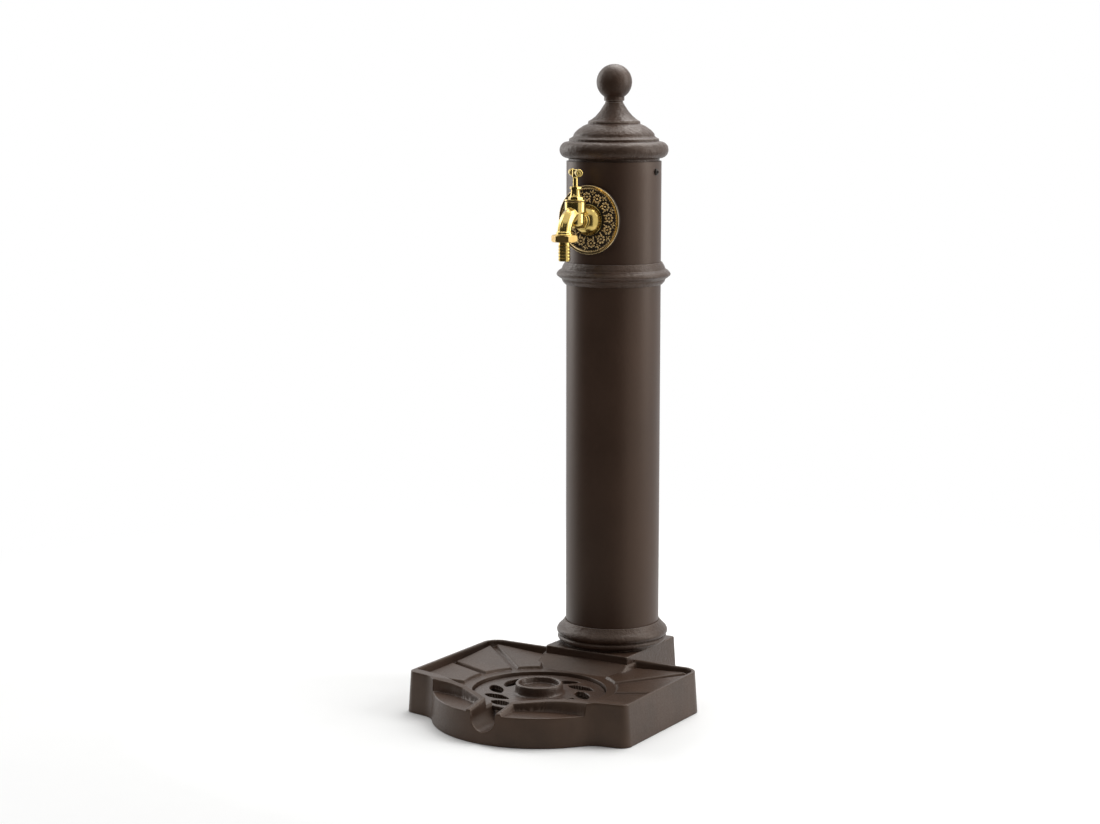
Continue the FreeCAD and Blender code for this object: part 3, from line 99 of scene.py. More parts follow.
class FountainColours(bpy.types.PropertyGroup):
    """Colours of the finishes."""
    brown_coat: finish_colour("Brown coat", "Powder coat on the castings", "#35251c")
    brown_worn: finish_colour("Worn coat", "Coat rubbed thin on raised edges", "#8d8177")
    tube_coat: finish_colour("Tube coat", "Satin powder coat on the tube", "#35241b")
    tray_coat: finish_colour("Tray coat", "Semi-gloss coat on the tray", "#38281e")
    brass: finish_colour("Brass", "Polished brass of the tap", "#cdb36a")
    old_brass: finish_colour("Old brass", "Raised work of the wall plate", "#dfc390")
    patina: finish_colour("Patina", "Dark ground of the wall plate", "#241809")
    plain_brass: finish_colour("Plain brass", "Brass fittings as machined", "#b79a5e")
    copper: finish_colour("Copper", "Drawn pipe in the column", "#b5704f")
    zinc: finish_colour("Zinc", "Plated bolts and nuts", "#a9abad")
    floor: finish_colour("Floor", "Floor and backdrop", "#f2f2f1")


# Numbers on a grid of points


def grid_faces(rows, columns, wrap_rows=False, wrap_columns=False):
    """Four-sided faces between neighbours of a grid whose points are numbered row by row."""
    row = np.arange(rows if wrap_rows else rows - 1)
    column = np.arange(columns if wrap_columns else columns - 1)
    r, c = np.meshgrid(row, column, indexing="ij")
    next_r, next_c = (r + 1) % rows, (c + 1) % columns
    quads = [r * columns + c, r * columns + next_c, next_r * columns + next_c, next_r * columns + c]
    return np.stack(quads, axis=-1).reshape(-1, 4)


def smooth_step(low, high, value):
    """0 below low, 1 above high, and 3t^2 - 2t^3 between them."""
    t = np.clip((value - low) / (high - low), 0, 1)
    return t * t * (3 - 2 * t)


def lattice_noise(points, grain, seed=0):
    """Smooth noise from -1 to 1: hashed values at the corners of a lattice of cells as wide as
    the grain, blended between the corners with smooth weights."""
    cells = points / grain + 1000.5 + 17.3 * seed
    corner = np.floor(cells).astype(np.int64)
    part = cells - corner
    part = part * part * (3 - 2 * part)
    total = np.zeros(len(points))
    for step in range(8):
        offset = np.array([step & 1, step >> 1 & 1, step >> 2 & 1])
        mixed = np.bitwise_xor.reduce((corner + offset) * HASH_FACTORS, axis=1)
        mixed = (mixed ^ mixed >> 13) * HASH_SPREAD & 0x7FFFFFFF
        value = (mixed ^ mixed >> 16) % 65536 / 32767.5 - 1
        total += value * np.prod(np.where(offset == 1, part, 1 - part), axis=1)
    return total


def rounded_line(corners, closed=False, spacing=1.5, steps=6):
    """A run of straight lines through (x, y, radius) corners. Each corner is turned by an arc
    that touches both lines, and long lines get points no further apart than the spacing."""
    corners = [np.array(c, float) for c in corners]
    count = len(corners)
    out = []
    for i, corner in enumerate(corners):
        ends = not closed and i in (0, count - 1)
        if ends or len(corner) < 3 or corner[2] == 0:
            out.append(corner[:2][None])
            continue
        here = corner[:2]
        back = corners[i - 1][:2] - here
        ahead = corners[(i + 1) % count][:2] - here
        back, ahead = back / np.linalg.norm(back), ahead / np.linalg.norm(ahead)
        half = np.arccos(np.clip(back @ ahead, -1, 1)) / 2
        reach = corner[2] / np.tan(half)
        centre = here + (back + ahead) / np.linalg.norm(back + ahead) * corner[2] / np.sin(half)
        first, last = here + back * reach - centre, here + ahead * reach - centre
        a, b = np.arctan2(first[1], first[0]), np.arctan2(last[1], last[0])
        sweep = (b - a + np.pi) % FULL_TURN - np.pi
        angles = a + sweep * np.linspace(0, 1, steps + 1)
        out.append(centre + corner[2] * np.stack([np.cos(angles), np.sin(angles)], axis=-1))
    line = np.concatenate(out)
    if closed:
        line = np.concatenate([line, line[:1]])
    pieces = []
    for a, b in zip(line[:-1], line[1:]):
        parts = max(1, int(np.ceil(np.linalg.norm(b - a) / spacing)))
        t = np.arange(parts)[:, None] / parts
        pieces.append(a + (b - a) * t)
    line = np.concatenate(pieces + ([] if closed else [line[-1:]]))
    keep = np.linalg.norm(line - np.roll(line, 1, axis=0), axis=1) > 1e-6
    keep[0] = True
    return line[keep]


def smooth_line(points, spacing=1.0):
    """A curve through the points: a Catmull-Rom spline, each span a cubic set by four points."""
    points = np.array(points, float)
    ring = np.concatenate([2 * points[:1] - points[1:2], points, 2 * points[-1:] - points[-2:-1]])
    out = []
    for a, b, c, d in zip(ring[:-3], ring[1:-2], ring[2:-1], ring[3:]):
        parts = max(2, int(np.ceil(np.linalg.norm(c - b) / spacing)))
        t = np.arange(parts)[:, None] / parts
        out.append(0.5 * (2 * b + (c - a) * t + (2 * a - 5 * b + 4 * c - d) * t ** 2
                          + (3 * b - a - 3 * c + d) * t ** 3))
    return np.concatenate(out + [points[-1:]])


def folded(angle, number):
    """An angle turned back into the one of so many equal sectors that lies about 0."""
    part = FULL_TURN / number
    return (angle + part / 2) % part - part / 2


def lathe(profile, segments, centre=(0, 0, 0), axis=(0, 0, 1), closed=True, flats=None):
    """A profile of (radius, height) carried once round an axis: centre + r cos(a) u + r sin(a) v
    + h axis. With flats = (distance, turn, number) the radius is cut back to that many planes:
    the smaller of r and distance / cos(angle from the nearest plane's normal)."""
    radius, height = profile[:, :1], profile[:, 1:2]
    angle = np.arange(segments)[None] * FULL_TURN / segments
    if flats:
        distance, turn, number = flats
        angle = angle + turn + FULL_TURN / number / 2
        radius = np.minimum(radius, distance / np.cos(folded(angle - turn, number)))
    along = np.array(axis, float) / np.linalg.norm(axis)
    across = np.array((1.0, 0, 0) if abs(along[0]) < 0.5 else (0, 0, 1.0))
    third = np.cross(along, across)
    points = ((radius * np.cos(angle))[..., None] * across
              + (radius * np.sin(angle))[..., None] * third
              + (height + 0 * angle)[..., None] * along)
    return (points.reshape(-1, 3) + np.array(centre),
            grid_faces(len(profile), segments, wrap_rows=closed, wrap_columns=True))


def arc(centre, radius, start, end, parts):
    """Points on a circle about the centre, from one angle in degrees to another."""
    angles = np.radians(np.linspace(start, end, parts + 1))
    return np.array(centre) + radius * np.stack([np.cos(angles), np.sin(angles)], axis=-1)


def polar_radius(line, angles):
    """Distance from the origin to a closed line round it, at each angle: the line's own points
    in polar form, sorted by angle and read between them."""
    angle, radius = np.arctan2(line[:, 1], line[:, 0]), np.hypot(line[:, 0], line[:, 1])
    order = np.argsort(angle)
    return np.interp(angles, angle[order], radius[order], period=FULL_TURN)


def ring_points(angles, radius, height, centre=(0, 0)):
    """One ring of a stack: centre + radius (cos, sin) of the angles, at a height."""
    return np.stack([centre[0] + radius * np.cos(angles), centre[1] + radius * np.sin(angles),
                     height + 0 * angles], axis=-1)


def joined(*shapes):
    """Several shapes as one: points end to end, and faces that count on from each other."""
    starts = np.cumsum([0] + [len(points) for points, _ in shapes])
    faces = [faces + start for (_, faces), start in zip(shapes, starts)]
    return np.concatenate([points for points, _ in shapes]), np.concatenate(faces)


def read_vectors(mesh, label):
    """The points or normals of a mesh, one row of three numbers each."""
    values = np.zeros(len(mesh.vertices) * 3)
    mesh.vertices.foreach_get(label, values)
    return values.reshape(-1, 3)


def edge_wear(mesh, reach):
    """How exposed each point is, from 0 to 1: the mean bend of its edges, n . (p - q) / |p - q|^2,
    as outward curvature times the reach, and evened out over its neighbours."""
    count = len(mesh.vertices)
    points, normals = read_vectors(mesh, "co") / MM, read_vectors(mesh, "normal")
    ends = np.zeros(len(mesh.edges) * 2, np.int32)
    mesh.edges.foreach_get("vertices", ends)
    ends = ends.reshape(-1, 2)
    a, b = np.concatenate([ends, ends[:, ::-1]]).T
    step = points[a] - points[b]
    bend = 2 * np.sum(normals[a] * step, axis=1) / np.maximum(np.sum(step ** 2, axis=1), 1e-6)
    number = np.maximum(np.bincount(a, minlength=count), 1)
    value = np.bincount(a, bend, count) / number
    for _ in range(3):
        value = (value + np.bincount(a, value[b], count) / number) / 2
    return np.clip(value * reach, 0, 1)


def add_piece(name, body, shape, material, replaced=(), rough=0.0, sharp=None, wear=2.5,
              fields=None):
    """A shape as an object at the origin that rides on its body and stands for its CAD nodes.
    Doubled points at seams and poles are merged, faces are turned outwards, a cast skin moves
    the points along their normals by two sizes of noise, and the wear is kept as an attribute."""
    points, faces = shape
    mesh = bpy.data.meshes.new(name)
    mesh.from_pydata(points * MM, [], faces.tolist())
    for label, values in (fields or {}).items():
        mesh.attributes.new(label, "FLOAT", "POINT").data.foreach_set("value", values)
    work = bmesh.new()
    work.from_mesh(mesh)
    bmesh.ops.remove_doubles(work, verts=work.verts, dist=MERGE_GAP)
    bmesh.ops.dissolve_degenerate(work, dist=SLIVER, edges=work.edges)
    bmesh.ops.recalc_face_normals(work, faces=work.faces)
    work.to_mesh(mesh)
    work.free()
    if rough:
        spots, normals = read_vectors(mesh, "co"), read_vectors(mesh, "normal")
        skin = (lattice_noise(spots / MM, SKIN_GRAIN)
                + 0.8 * lattice_noise(spots / MM, SKIN_LUMP, seed=3))
        spots += normals * (skin * rough * MM)[:, None]
        mesh.vertices.foreach_set("co", spots.ravel())
    mesh.shade_smooth()
    if sharp:
        mesh.set_sharp_from_angle(angle=np.radians(sharp))
    mesh.update()
    worn = edge_wear(mesh, wear)
    mesh.attributes.new("wear", "FLOAT", "POINT").data.foreach_set("value", worn)
    mesh.materials.append(material)
    piece = bpy.data.objects.new(name, mesh)
    bpy.context.scene.collection.objects.link(piece)
    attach(piece, body)
    if replaced:
        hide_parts(*replaced)
    return piece


def dress_node(name, material):
    """A CAD node gets its finish, and keeps its shape."""
    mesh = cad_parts[name].data
    mesh.materials.clear()
    mesh.materials.append(material)


# Finishes. Pattern sizes are real lengths: a noise of scale 1 / size has lumps about that wide.


def fill(tree, node, inputs):
    """Gives a node's inputs their values, or links from a socket or from a node's first output."""
    for label, value in dict(inputs).items():
        if isinstance(value, bpy.types.Node):
            value = value.outputs[0]
        if isinstance(value, bpy.types.NodeSocket):
            tree.links.new(value, node.inputs[label])
        else:
            node.inputs[label].default_value = value


def add_node(tree, kind, inputs=(), **settings):
    """Adds a node of a kind, sets it up and fills its inputs."""
    made = tree.nodes.new("ShaderNode" + kind)
    for label, value in settings.items():
        setattr(made, label, value)
    fill(tree, made, inputs)
    return made


def new_finish(name, **values):
    """An empty material: its tree, its shader with plain values, and the place on the piece."""
    material = bpy.data.materials.new(name)
    material.use_nodes = True
    tree = material.node_tree
    shader = tree.nodes["Principled BSDF"]
    fill(tree, shader, {label.replace("_", " "): value for label, value in values.items()})
    return material, tree, shader, add_node(tree, "TexCoord").outputs["Object"]


def shade_of(colour, factor=1.0):
    """A colour made darker or paler by a factor, with full cover."""
    return tuple(min(1.0, c * factor) for c in colour) + (1.0,)


# Painted warmth in reflections: this tint warms what the brown coats reflect, which a clear
# polyester coat does not do itself.
PAINTED_WARM_SHINE = shade_of(linear("#ffead7"))


def coated_casting(name, colour, worn, grain, lump, depth, wear, sheen):
    """Powder coat on sand-cast iron: polyester baked over the print of the moulding sand. The eye
    sees a dark satin skin of small grains and softer lumps, clouds of tone 55 mm wide, and
    rubbed, paler edges."""
    # Specular Tint paints a warm colour into the coat's reflections.
    material, tree, shader, place = new_finish(name, IOR=1.5, Specular_IOR_Level=0.36,
                                               Specular_Tint=PAINTED_WARM_SHINE, Coat_Weight=sheen,
                                               Coat_Roughness=0.3)
    fine = add_node(tree, "TexNoise", {"Vector": place, "Scale": 1 / (grain * MM),
                                       "Detail": 3.0, "Roughness": 0.6})
    coarse = add_node(tree, "TexNoise", {"Vector": place, "Scale": 1 / (lump * MM),
                                         "Detail": 2.0})
    cloud = add_node(tree, "TexNoise", {"Vector": place, "Scale": 1 / (55 * MM), "Detail": 4.0})
    height = add_node(tree, "Mix", {0: 0.45, 2: fine, 3: coarse})
    bump = add_node(tree, "Bump", {"Height": height, "Strength": 0.8, "Distance": depth * MM})
    tone = add_node(tree, "MapRange", {"Value": cloud, "From Min": 0.35, "From Max": 0.68})
    coat = add_node(tree, "Mix", {0: tone, 6: shade_of(colour, 0.82), 7: shade_of(colour, 1.2)},
                    data_type="RGBA")
    edge = add_node(tree, "Attribute", attribute_name="wear")
    rubbed = add_node(tree, "Math", {0: edge.outputs["Fac"], 1: fine}, operation="MULTIPLY")
    rub = add_node(tree, "MapRange", {"Value": rubbed, "From Min": 0.18, "From Max": 0.5,
                                      "To Max": wear})
    skin = add_node(tree, "Mix", {0: rub, 6: coat.outputs[2], 7: shade_of(worn)},
                    data_type="RGBA")
    gloss = add_node(tree, "MapRange", {"Value": fine, "From Min": 0.3, "From Max": 0.7,
                                        "To Min": 0.34, "To Max": 0.56})
    fill(tree, shader, {"Base Color": skin.outputs[2], "Roughness": gloss, "Normal": bump})
    return material


def coated_tube(name, colour):
    """Satin powder coat on drawn steel tube: smooth, with the faint orange peel of a sprayed and
    baked coat in 3 mm waves, wide soft clouds of tone, and a few lighter dust specks."""
    # Specular Tint paints a warm colour into the coat's reflections.
    material, tree, shader, place = new_finish(name, IOR=1.5, Specular_IOR_Level=0.42,
                                               Specular_Tint=PAINTED_WARM_SHINE)
    peel = add_node(tree, "TexNoise", {"Vector": place, "Scale": 1 / (3 * MM), "Detail": 2.0})
    cloud = add_node(tree, "TexNoise", {"Vector": place, "Scale": 1 / (90 * MM), "Detail": 5.0})
    speck = add_node(tree, "TexVoronoi", {"Vector": place, "Scale": 1 / (9 * MM)})
    bump = add_node(tree, "Bump", {"Height": peel, "Strength": 0.35, "Distance": 0.05 * MM})
    tone = add_node(tree, "MapRange", {"Value": cloud, "From Min": 0.3, "From Max": 0.7})
    coat = add_node(tree, "Mix", {0: tone, 6: shade_of(colour, 0.88), 7: shade_of(colour, 1.12)},
                    data_type="RGBA")
    dust = add_node(tree, "MapRange", {"Value": speck.outputs["Distance"], "From Min": 0.05,
                                       "From Max": 0.0, "To Max": 0.35})
    skin = add_node(tree, "Mix", {0: dust, 6: coat.outputs[2], 7: shade_of(colour, 3.0)},
                    data_type="RGBA")
    gloss = add_node(tree, "MapRange", {"Value": cloud, "To Min": 0.36, "To Max": 0.5})
    fill(tree, shader, {"Base Color": skin.outputs[2], "Roughness": gloss, "Normal": bump})
    return material


def bare_metal(name, colour, dull, smooth, stain, scratch):
    """Bare or plated metal, polished or as machined: the eye sees its own tint in every
    reflection, a film of tarnish in clouds of 14 mm, and fine wiping marks under 1 mm wide."""
    material, tree, shader, place = new_finish(name, Metallic=1.0)
    cloud = add_node(tree, "TexNoise", {"Vector": place, "Scale": 1 / (14 * MM), "Detail": 5.0,
                                        "Roughness": 0.6})
    wipe = add_node(tree, "Mapping", {"Vector": place, "Rotation": (0.5, 0.3, 0.8),
                                      "Scale": (1.0, 0.12, 1.0)})
    mark = add_node(tree, "TexNoise", {"Vector": wipe, "Scale": 1 / (0.9 * MM), "Detail": 2.0})
    film = add_node(tree, "MapRange", {"Value": cloud, "From Min": 0.42, "From Max": 0.75,
                                       "To Max": stain})
    skin = add_node(tree, "Mix", {0: film, 6: shade_of(colour), 7: shade_of(dull)},
                    data_type="RGBA")
    gloss = add_node(tree, "MapRange", {"Value": cloud, "From Min": 0.3, "From Max": 0.75,
                                        "To Min": smooth, "To Max": smooth + 0.14})
    bump = add_node(tree, "Bump", {"Height": mark, "Strength": scratch, "Distance": 0.03 * MM})
    fill(tree, shader, {"Base Color": skin.outputs[2], "Roughness": gloss, "Normal": bump})
    return material


def stained_brass(name, raised, ground):
    """Cast brass, stained dark and then rubbed: patina stays in the low ground, which the
    attribute "ground" marks, and the raised flowers and the rim shine through it."""
    material, tree, shader, place = new_finish(name)
    low = add_node(tree, "Attribute", attribute_name="ground")
    fine = add_node(tree, "TexNoise", {"Vector": place, "Scale": 1 / (1.6 * MM), "Detail": 4.0})
    shift = add_node(tree, "MapRange", {"Value": fine, "From Min": 0.3, "From Max": 0.7,
                                        "To Min": -0.15, "To Max": 0.15})
    depth = add_node(tree, "Math", {0: low.outputs["Fac"], 1: shift}, operation="ADD")
    dark = add_node(tree, "MapRange", {"Value": depth, "From Min": 0.25, "From Max": 0.75})
    skin = add_node(tree, "Mix", {0: dark, 6: shade_of(raised), 7: shade_of(ground)},
                    data_type="RGBA")
    metal = add_node(tree, "MapRange", {"Value": dark, "To Min": 1.0, "To Max": 0.15})
    gloss = add_node(tree, "MapRange", {"Value": dark, "To Min": 0.24, "To Max": 0.62})
    bump = add_node(tree, "Bump", {"Height": fine, "Strength": 0.5, "Distance": 0.12 * MM})
    fill(tree, shader, {"Base Color": skin.outputs[2], "Metallic": metal, "Roughness": gloss,
                        "Normal": bump})
    return material


def pressed_seal(name, colour, fibre):
    """Sheet gasket or moulded rubber: matt, with a fine nap as wide as the fibre."""
    material, tree, shader, place = new_finish(name, Roughness=0.8)
    nap = add_node(tree, "TexNoise", {"Vector": place, "Scale": 1 / (fibre * MM), "Detail": 4.0})
    skin = add_node(tree, "Mix", {0: nap, 6: shade_of(colour, 0.7), 7: shade_of(colour, 1.4)},
                    data_type="RGBA")
    bump = add_node(tree, "Bump", {"Height": nap, "Strength": 0.5, "Distance": 0.1 * MM})
    fill(tree, shader, {"Base Color": skin.outputs[2], "Normal": bump})
    return material


# Each finish has its maker and the maker's values. A colour is a field of FountainColours or a
# hex value. Castings: coat, worn coat, grain, lump and depth of the skin in mm, wear, sheen.
# Metals: metal, tarnish, roughness, stain, scratches. Seals: colour, fibre in mm.
FINISHES = {
    "sand_cast_coat": (coated_casting, "brown_coat", "brown_worn", 2.2, 6.0, 1.5, 0.35, 0.15),
    "rough_cast_coat": (coated_casting, "brown_coat", "brown_worn", 1.7, 5.0, 1.2, 0.8, 0.3),
    "tray_coat": (coated_casting, "tray_coat", "brown_worn", 2.0, 9.0, 0.28, 0.15, 0.12),
    "black_oxide": (coated_casting, "#1a1a1b", "#5a5754", 1.2, 4.0, 0.1, 0.3, 0.0),
    "tube_coat": (coated_tube, "tube_coat"),
    "buffed_brass": (bare_metal, "brass", "#8a6a34", 0.15, 0.35, 0.4),
    "worn_brass": (bare_metal, "plain_brass", "#8a6a34", 0.36, 0.3, 0.6),
    "machined_brass": (bare_metal, "plain_brass", "#8a6a34", 0.3, 0.5, 0.8),
    "drawn_copper": (bare_metal, "copper", "#6d3f2c", 0.28, 0.6, 0.4),
    "zinc_plate": (bare_metal, "zinc", "#7d7f80", 0.38, 0.5, 0.7),
    "stained_brass": (stained_brass, "old_brass", "patina"),
    "red_fibre": (pressed_seal, "#5a3a2a", 0.8),
    "black_rubber": (pressed_seal, "#1c1c1c", 0.5),
}


def finish(name):
    """The finish of that name, made when it is first asked for."""
    if name in bpy.data.materials:
        return bpy.data.materials[name]
    colours = bpy.context.scene.fountain_colours
    maker, *values = FINISHES[name]
    for i, value in enumerate(values):
        if isinstance(value, str):
            values[i] = linear(value) if value[0] == "#" else getattr(colours, value)
    return maker(name, *values)


# Column, rings, cap and ball

PART_HEIGHT = 930.5
BALL_FOOT_RADIUS = 14.9


def ring_shape(outside, bore, segments=420):
    """An outline in radius and height from top to foot, closed by a bore with soft edges."""
    top, foot = outside[0, 1], outside[-1, 1]
    inside = rounded_line([(outside[-1, 0], foot), (bore, foot, 0.4), (bore, top, 0.4),
                           (outside[0, 0], top)], spacing=9, steps=3)
    return lathe(np.concatenate([outside, inside[1:-1]]), segments)


def tube_shape(sizes):
    """A plain tube with softened ends, between the ends of its solid."""
    outer = sizes.tube_radius / MM
    bore = outer - sizes.tube_wall / MM
    foot, top = (corner.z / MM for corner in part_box("column_tube"))
    edge = 0.5
    profile = rounded_line([(outer, foot, edge), (outer, top, edge), (bore, top, edge),
                            (bore, foot, edge)], closed=True, spacing=24, steps=3)
    return lathe(profile, 288)


def base_ring_shape():
    """The ring at the tube's foot: a cone, a wide bead, a groove, a lower bead and a narrow
    foot that stands in its shadow."""
    bead = smooth_line([(78.6, 93.6), (81.0, 91.4), (82.7, 88.6), (83.3, 86.2), (82.8, 83.6),
                        (81.3, 81.6), (79.8, 80.7)], spacing=0.9)
    lower = smooth_line([(79.7, 80.0), (80.9, 79.0), (81.9, 77.2), (81.8, 75.0), (80.6, 73.0),
                         (78.2, 71.7), (75.2, 71.2), (74.4, 70.0), (74.2, 68.3)], spacing=0.9)
    cone = smooth_line([(71.6, 102), (74.3, 98.2), (77.2, 94.8)], spacing=1.2)
    return ring_shape(np.concatenate([cone, bead, lower]), 70.15)


def middle_ring_shape():
    """The ring on the tube under the tap: a cone, a nosed bead and a short foot."""
    cone = smooth_line([(71.5, 642), (73.9, 638), (75.5, 635), (76.5, 632.2)], spacing=1.2)
    nose = smooth_line([(77.4, 631.2), (80.6, 629.2), (83.2, 626.4), (84.25, 623.8),
                        (83.0, 621.6), (80.2, 619.4), (77.4, 617.6)], spacing=1.0)
    foot = smooth_line([(76.5, 616.4), (75.9, 614.2), (73.9, 611.4), (71.5, 609)], spacing=1.2)
    return ring_shape(np.concatenate([cone, nose, foot]), 69.95)


def cap_shape():
    """A spigot inside the tube, a half-round bead over its end, a step, a dome and a flared neck
    that carries the ball. Inside, the casting follows the dome at about 7 mm."""
    spigot = rounded_line([(60.8, 762), (66.8, 762, 0.6), (66.8, 793.6, 0.8), (67.4, 794)],
                          spacing=5, steps=3)
    bead = arc((67.85, 806), 12, -90, 84, 26)
    step = rounded_line([(67.6, 818.2), (66.2, 818.5, 0.6), (65.8, 822.2, 1.6), (61.4, 824.4, 1.4),
                         (59.9, 826)], spacing=1.2, steps=4)
    dome = smooth_line([(59.6, 826.6), (58.6, 829.4), (56.6, 832), (53.6, 835), (49.5, 838),
                        (44.8, 841), (38.6, 843.6)], spacing=1.2)
    small = rounded_line([(38.4, 843.8), (38.2, 846.4, 0.8), (37.0, 848.2, 0.6), (35.2, 849)],
                         spacing=1.2, steps=4)
    flare = smooth_line([(34.6, 849.4), (31.6, 851.4), (28.4, 854.0), (25.2, 857.2), (22.0, 861),
                         (19.2, 864.8), (16.8, 868.6), (15.0, 871.6), (14.0, 873)], spacing=1.2)
    top = rounded_line([(13.5, 873.4), (13.4, 874.95, 0.5), (0, 874.95)], spacing=4, steps=3)
    inside = rounded_line([(0, 866), (9, 864), (17, 852), (34, 838), (50, 829), (57, 818),
                           (60.8, 806), (60.8, 762.2)], spacing=8)
    return lathe(np.concatenate([spigot, bead, step, dome, small, flare, top, inside]), 420)


def ball_shape(radius):
    """A ball on a short foot, with the shaded groove between the foot and the cap's neck."""
    foot = rounded_line([(0, 875.05), (12.8, 875.05, 0.2), (12.8, 877.2, 0.3),
                         (BALL_FOOT_RADIUS, 877.4, 0.5), (BALL_FOOT_RADIUS, 883.2)],
                        spacing=1.2, steps=3)
    meeting = np.degrees(np.arccos(BALL_FOOT_RADIUS / radius))
    ball = arc((0, PART_HEIGHT - radius), radius, 1.2 - meeting, 90, 60)
    return lathe(np.concatenate([foot, ball]), 200, closed=False)


class FOUNTAIN_OT_column(bpy.types.Operator):
    """Builds the steel tube with its foot ring and middle ring"""
    bl_idname = "fountain.column"
    bl_label = "Column and rings"

    def execute(self, context):
        s = context.scene.fountain_sizes
        rough = s.cast_roughness / MM
        add_piece("tube", "stand", tube_shape(s), finish("tube_coat"),
                  ["column_tube"], sharp=40)
        add_piece("foot_ring", "stand", base_ring_shape(), finish("sand_cast_coat"),
                  ["base_collar"], rough=rough, sharp=50)
        add_piece("middle_ring", "stand", middle_ring_shape(), finish("sand_cast_coat"),
                  ["mid_collar"], rough=rough, sharp=50)
        return {"FINISHED"}


class FOUNTAIN_OT_cap(bpy.types.Operator):
    """Builds the domed cap and the ball on top of it"""
    bl_idname = "fountain.cap"
    bl_label = "Cap and ball"

    def execute(self, context):
        s = context.scene.fountain_sizes
        rough = s.cast_roughness / MM
        add_piece("domed_cap", "stand", cap_shape(), finish("sand_cast_coat"),
                  ["cap"], rough=rough * 1.7)
        add_piece("ball", "stand", ball_shape(s.ball_radius / MM), finish("sand_cast_coat"),
                  ["finial"], rough=rough * 0.5)
        return {"FINISHED"}


# Plinth

PLINTH_SIDE, PLINTH_FRONT, PLINTH_BACK = 70.0, 78.5, 70.0
PLINTH_TOP, PLINTH_CEILING, PLINTH_FLOOR = 68.0, 60.0, 8.0
PLINTH_DRAFT, PLINTH_WALL, PLINTH_EDGE = 3.0, 6.0, 1.8
SPIGOT_RADIUS, FLOOR_HOLE = 66.8, 28.0


def plinth_line(grow):
    """The plinth's rounded outline seen from above, grown by a distance."""
    side, front, back = PLINTH_SIDE + grow, PLINTH_FRONT + grow, PLINTH_BACK + grow
    return rounded_line([(side, -front, 3), (side, back, 3), (-side, back, 3), (-side, -front, 3)],
                        closed=True, spacing=0.8, steps=6)


def plinth_shape():
    """A hollow block: each ring of the stack is a rounded rectangle or a circle, told apart only
    by its distance at each angle, and the stack runs over the top, up the spigot inside the
    tube, down the inner walls, through the hole in the floor and back along the foot."""
    top = plinth_line(0)
    angles = np.sort(np.arctan2(top[:, 1], top[:, 0]))
    narrow, wide, hollow = (polar_radius(plinth_line(grow), angles)
                            for grow in (0, PLINTH_DRAFT, -PLINTH_WALL))
    shoulder, ledge = PLINTH_TOP - PLINTH_EDGE, narrow - PLINTH_EDGE
    rings = []
    for t in np.linspace(0, 1, 44):
        rings.append(ring_points(angles, wide + (narrow - wide) * t, shoulder * t))
    for turn in np.radians([18, 36, 54, 72, 90]):
        rings.append(ring_points(angles, ledge + PLINTH_EDGE * np.cos(turn),
                                 shoulder + PLINTH_EDGE * np.sin(turn)))
    for t in np.linspace(0.05, 1, 18):
        rings.append(ring_points(angles, ledge * (1 - t) + SPIGOT_RADIUS * t, PLINTH_TOP))
    for radius, height in [(SPIGOT_RADIUS, 124.5), (66.3, 125), (61.3, 125), (60.8, 124.5),
                           (60.8, PLINTH_CEILING)]:
        rings.append(ring_points(angles, radius + 0 * angles, height))
    rings.append(ring_points(angles, hollow, PLINTH_CEILING))
    rings.append(ring_points(angles, hollow + 2.4, PLINTH_FLOOR))
    for height in (PLINTH_FLOOR, 0.0):
        rings.append(ring_points(angles, FLOOR_HOLE + 0 * angles, height))
    return np.concatenate(rings), grid_faces(len(rings), len(angles), True, True)


class FOUNTAIN_OT_plinth(bpy.types.Operator):
    """Builds the square block under the column"""
    bl_idname = "fountain.plinth"
    bl_label = "Plinth"

    def execute(self, context):
        add_piece("plinth_block", "stand", plinth_shape(), finish("sand_cast_coat"),
                  ["plinth"], rough=context.scene.fountain_sizes.cast_roughness / MM * 0.8,
                  sharp=50)
        return {"FINISHED"}


# Tray. DRAIN is the grate's centre seen from above. An edge or bevel is given by the distances
# where it starts to fall and where it is down.

DRAIN = np.array([0.0, -213.0])
SEAT_RADIUS = 96.5
LOBE_RADIUS = 150.5
BASIN_FLOOR, BASIN_RISE = 39.0, 0.09
PAD_HEIGHT, PAD_START, PAD_GAP = 5.6, 109.5, 2.4
PAD_ANGLES, PAD_BEVEL = (27, 50, 78, 108), (-0.4, 4.2)
RIM_DEPTH, RIM_EDGE = 18.0, (5.0, 7.6)
BAND_FOOT, BAND_EDGE = 30.0, (3.6, 5.9)
BAND_WIDENS, BAND_WIDE_X = 6.5, (86, 138)
BAND_Y, BAND_TOPS = (-368.5, -331.5, -290.5), (44, 51)
APRON_TOP, APRON_Y, APRON_SLOPE = 57.0, -81.5, 0.5426
SHELF_TOP = 42.0
LIP_X, LIP_Y = 24.6, -325.5
FRONT_RIM = np.array([(178, -276.5), (128, -286.5), (68.6, -304.1), (LIP_X, LIP_Y),
                      (LIP_X, -366)], float)
CHANNEL_HALF, CHANNEL_FOOT = 20.0, 17.0
SEAT_HEIGHT, SUMP_FLOOR = 31.5, 17.0
SUMP_UNDERSIDE, TRAY_UNDERSIDE = 11.0, 33.0
TRAY_DRAFT = 4.0


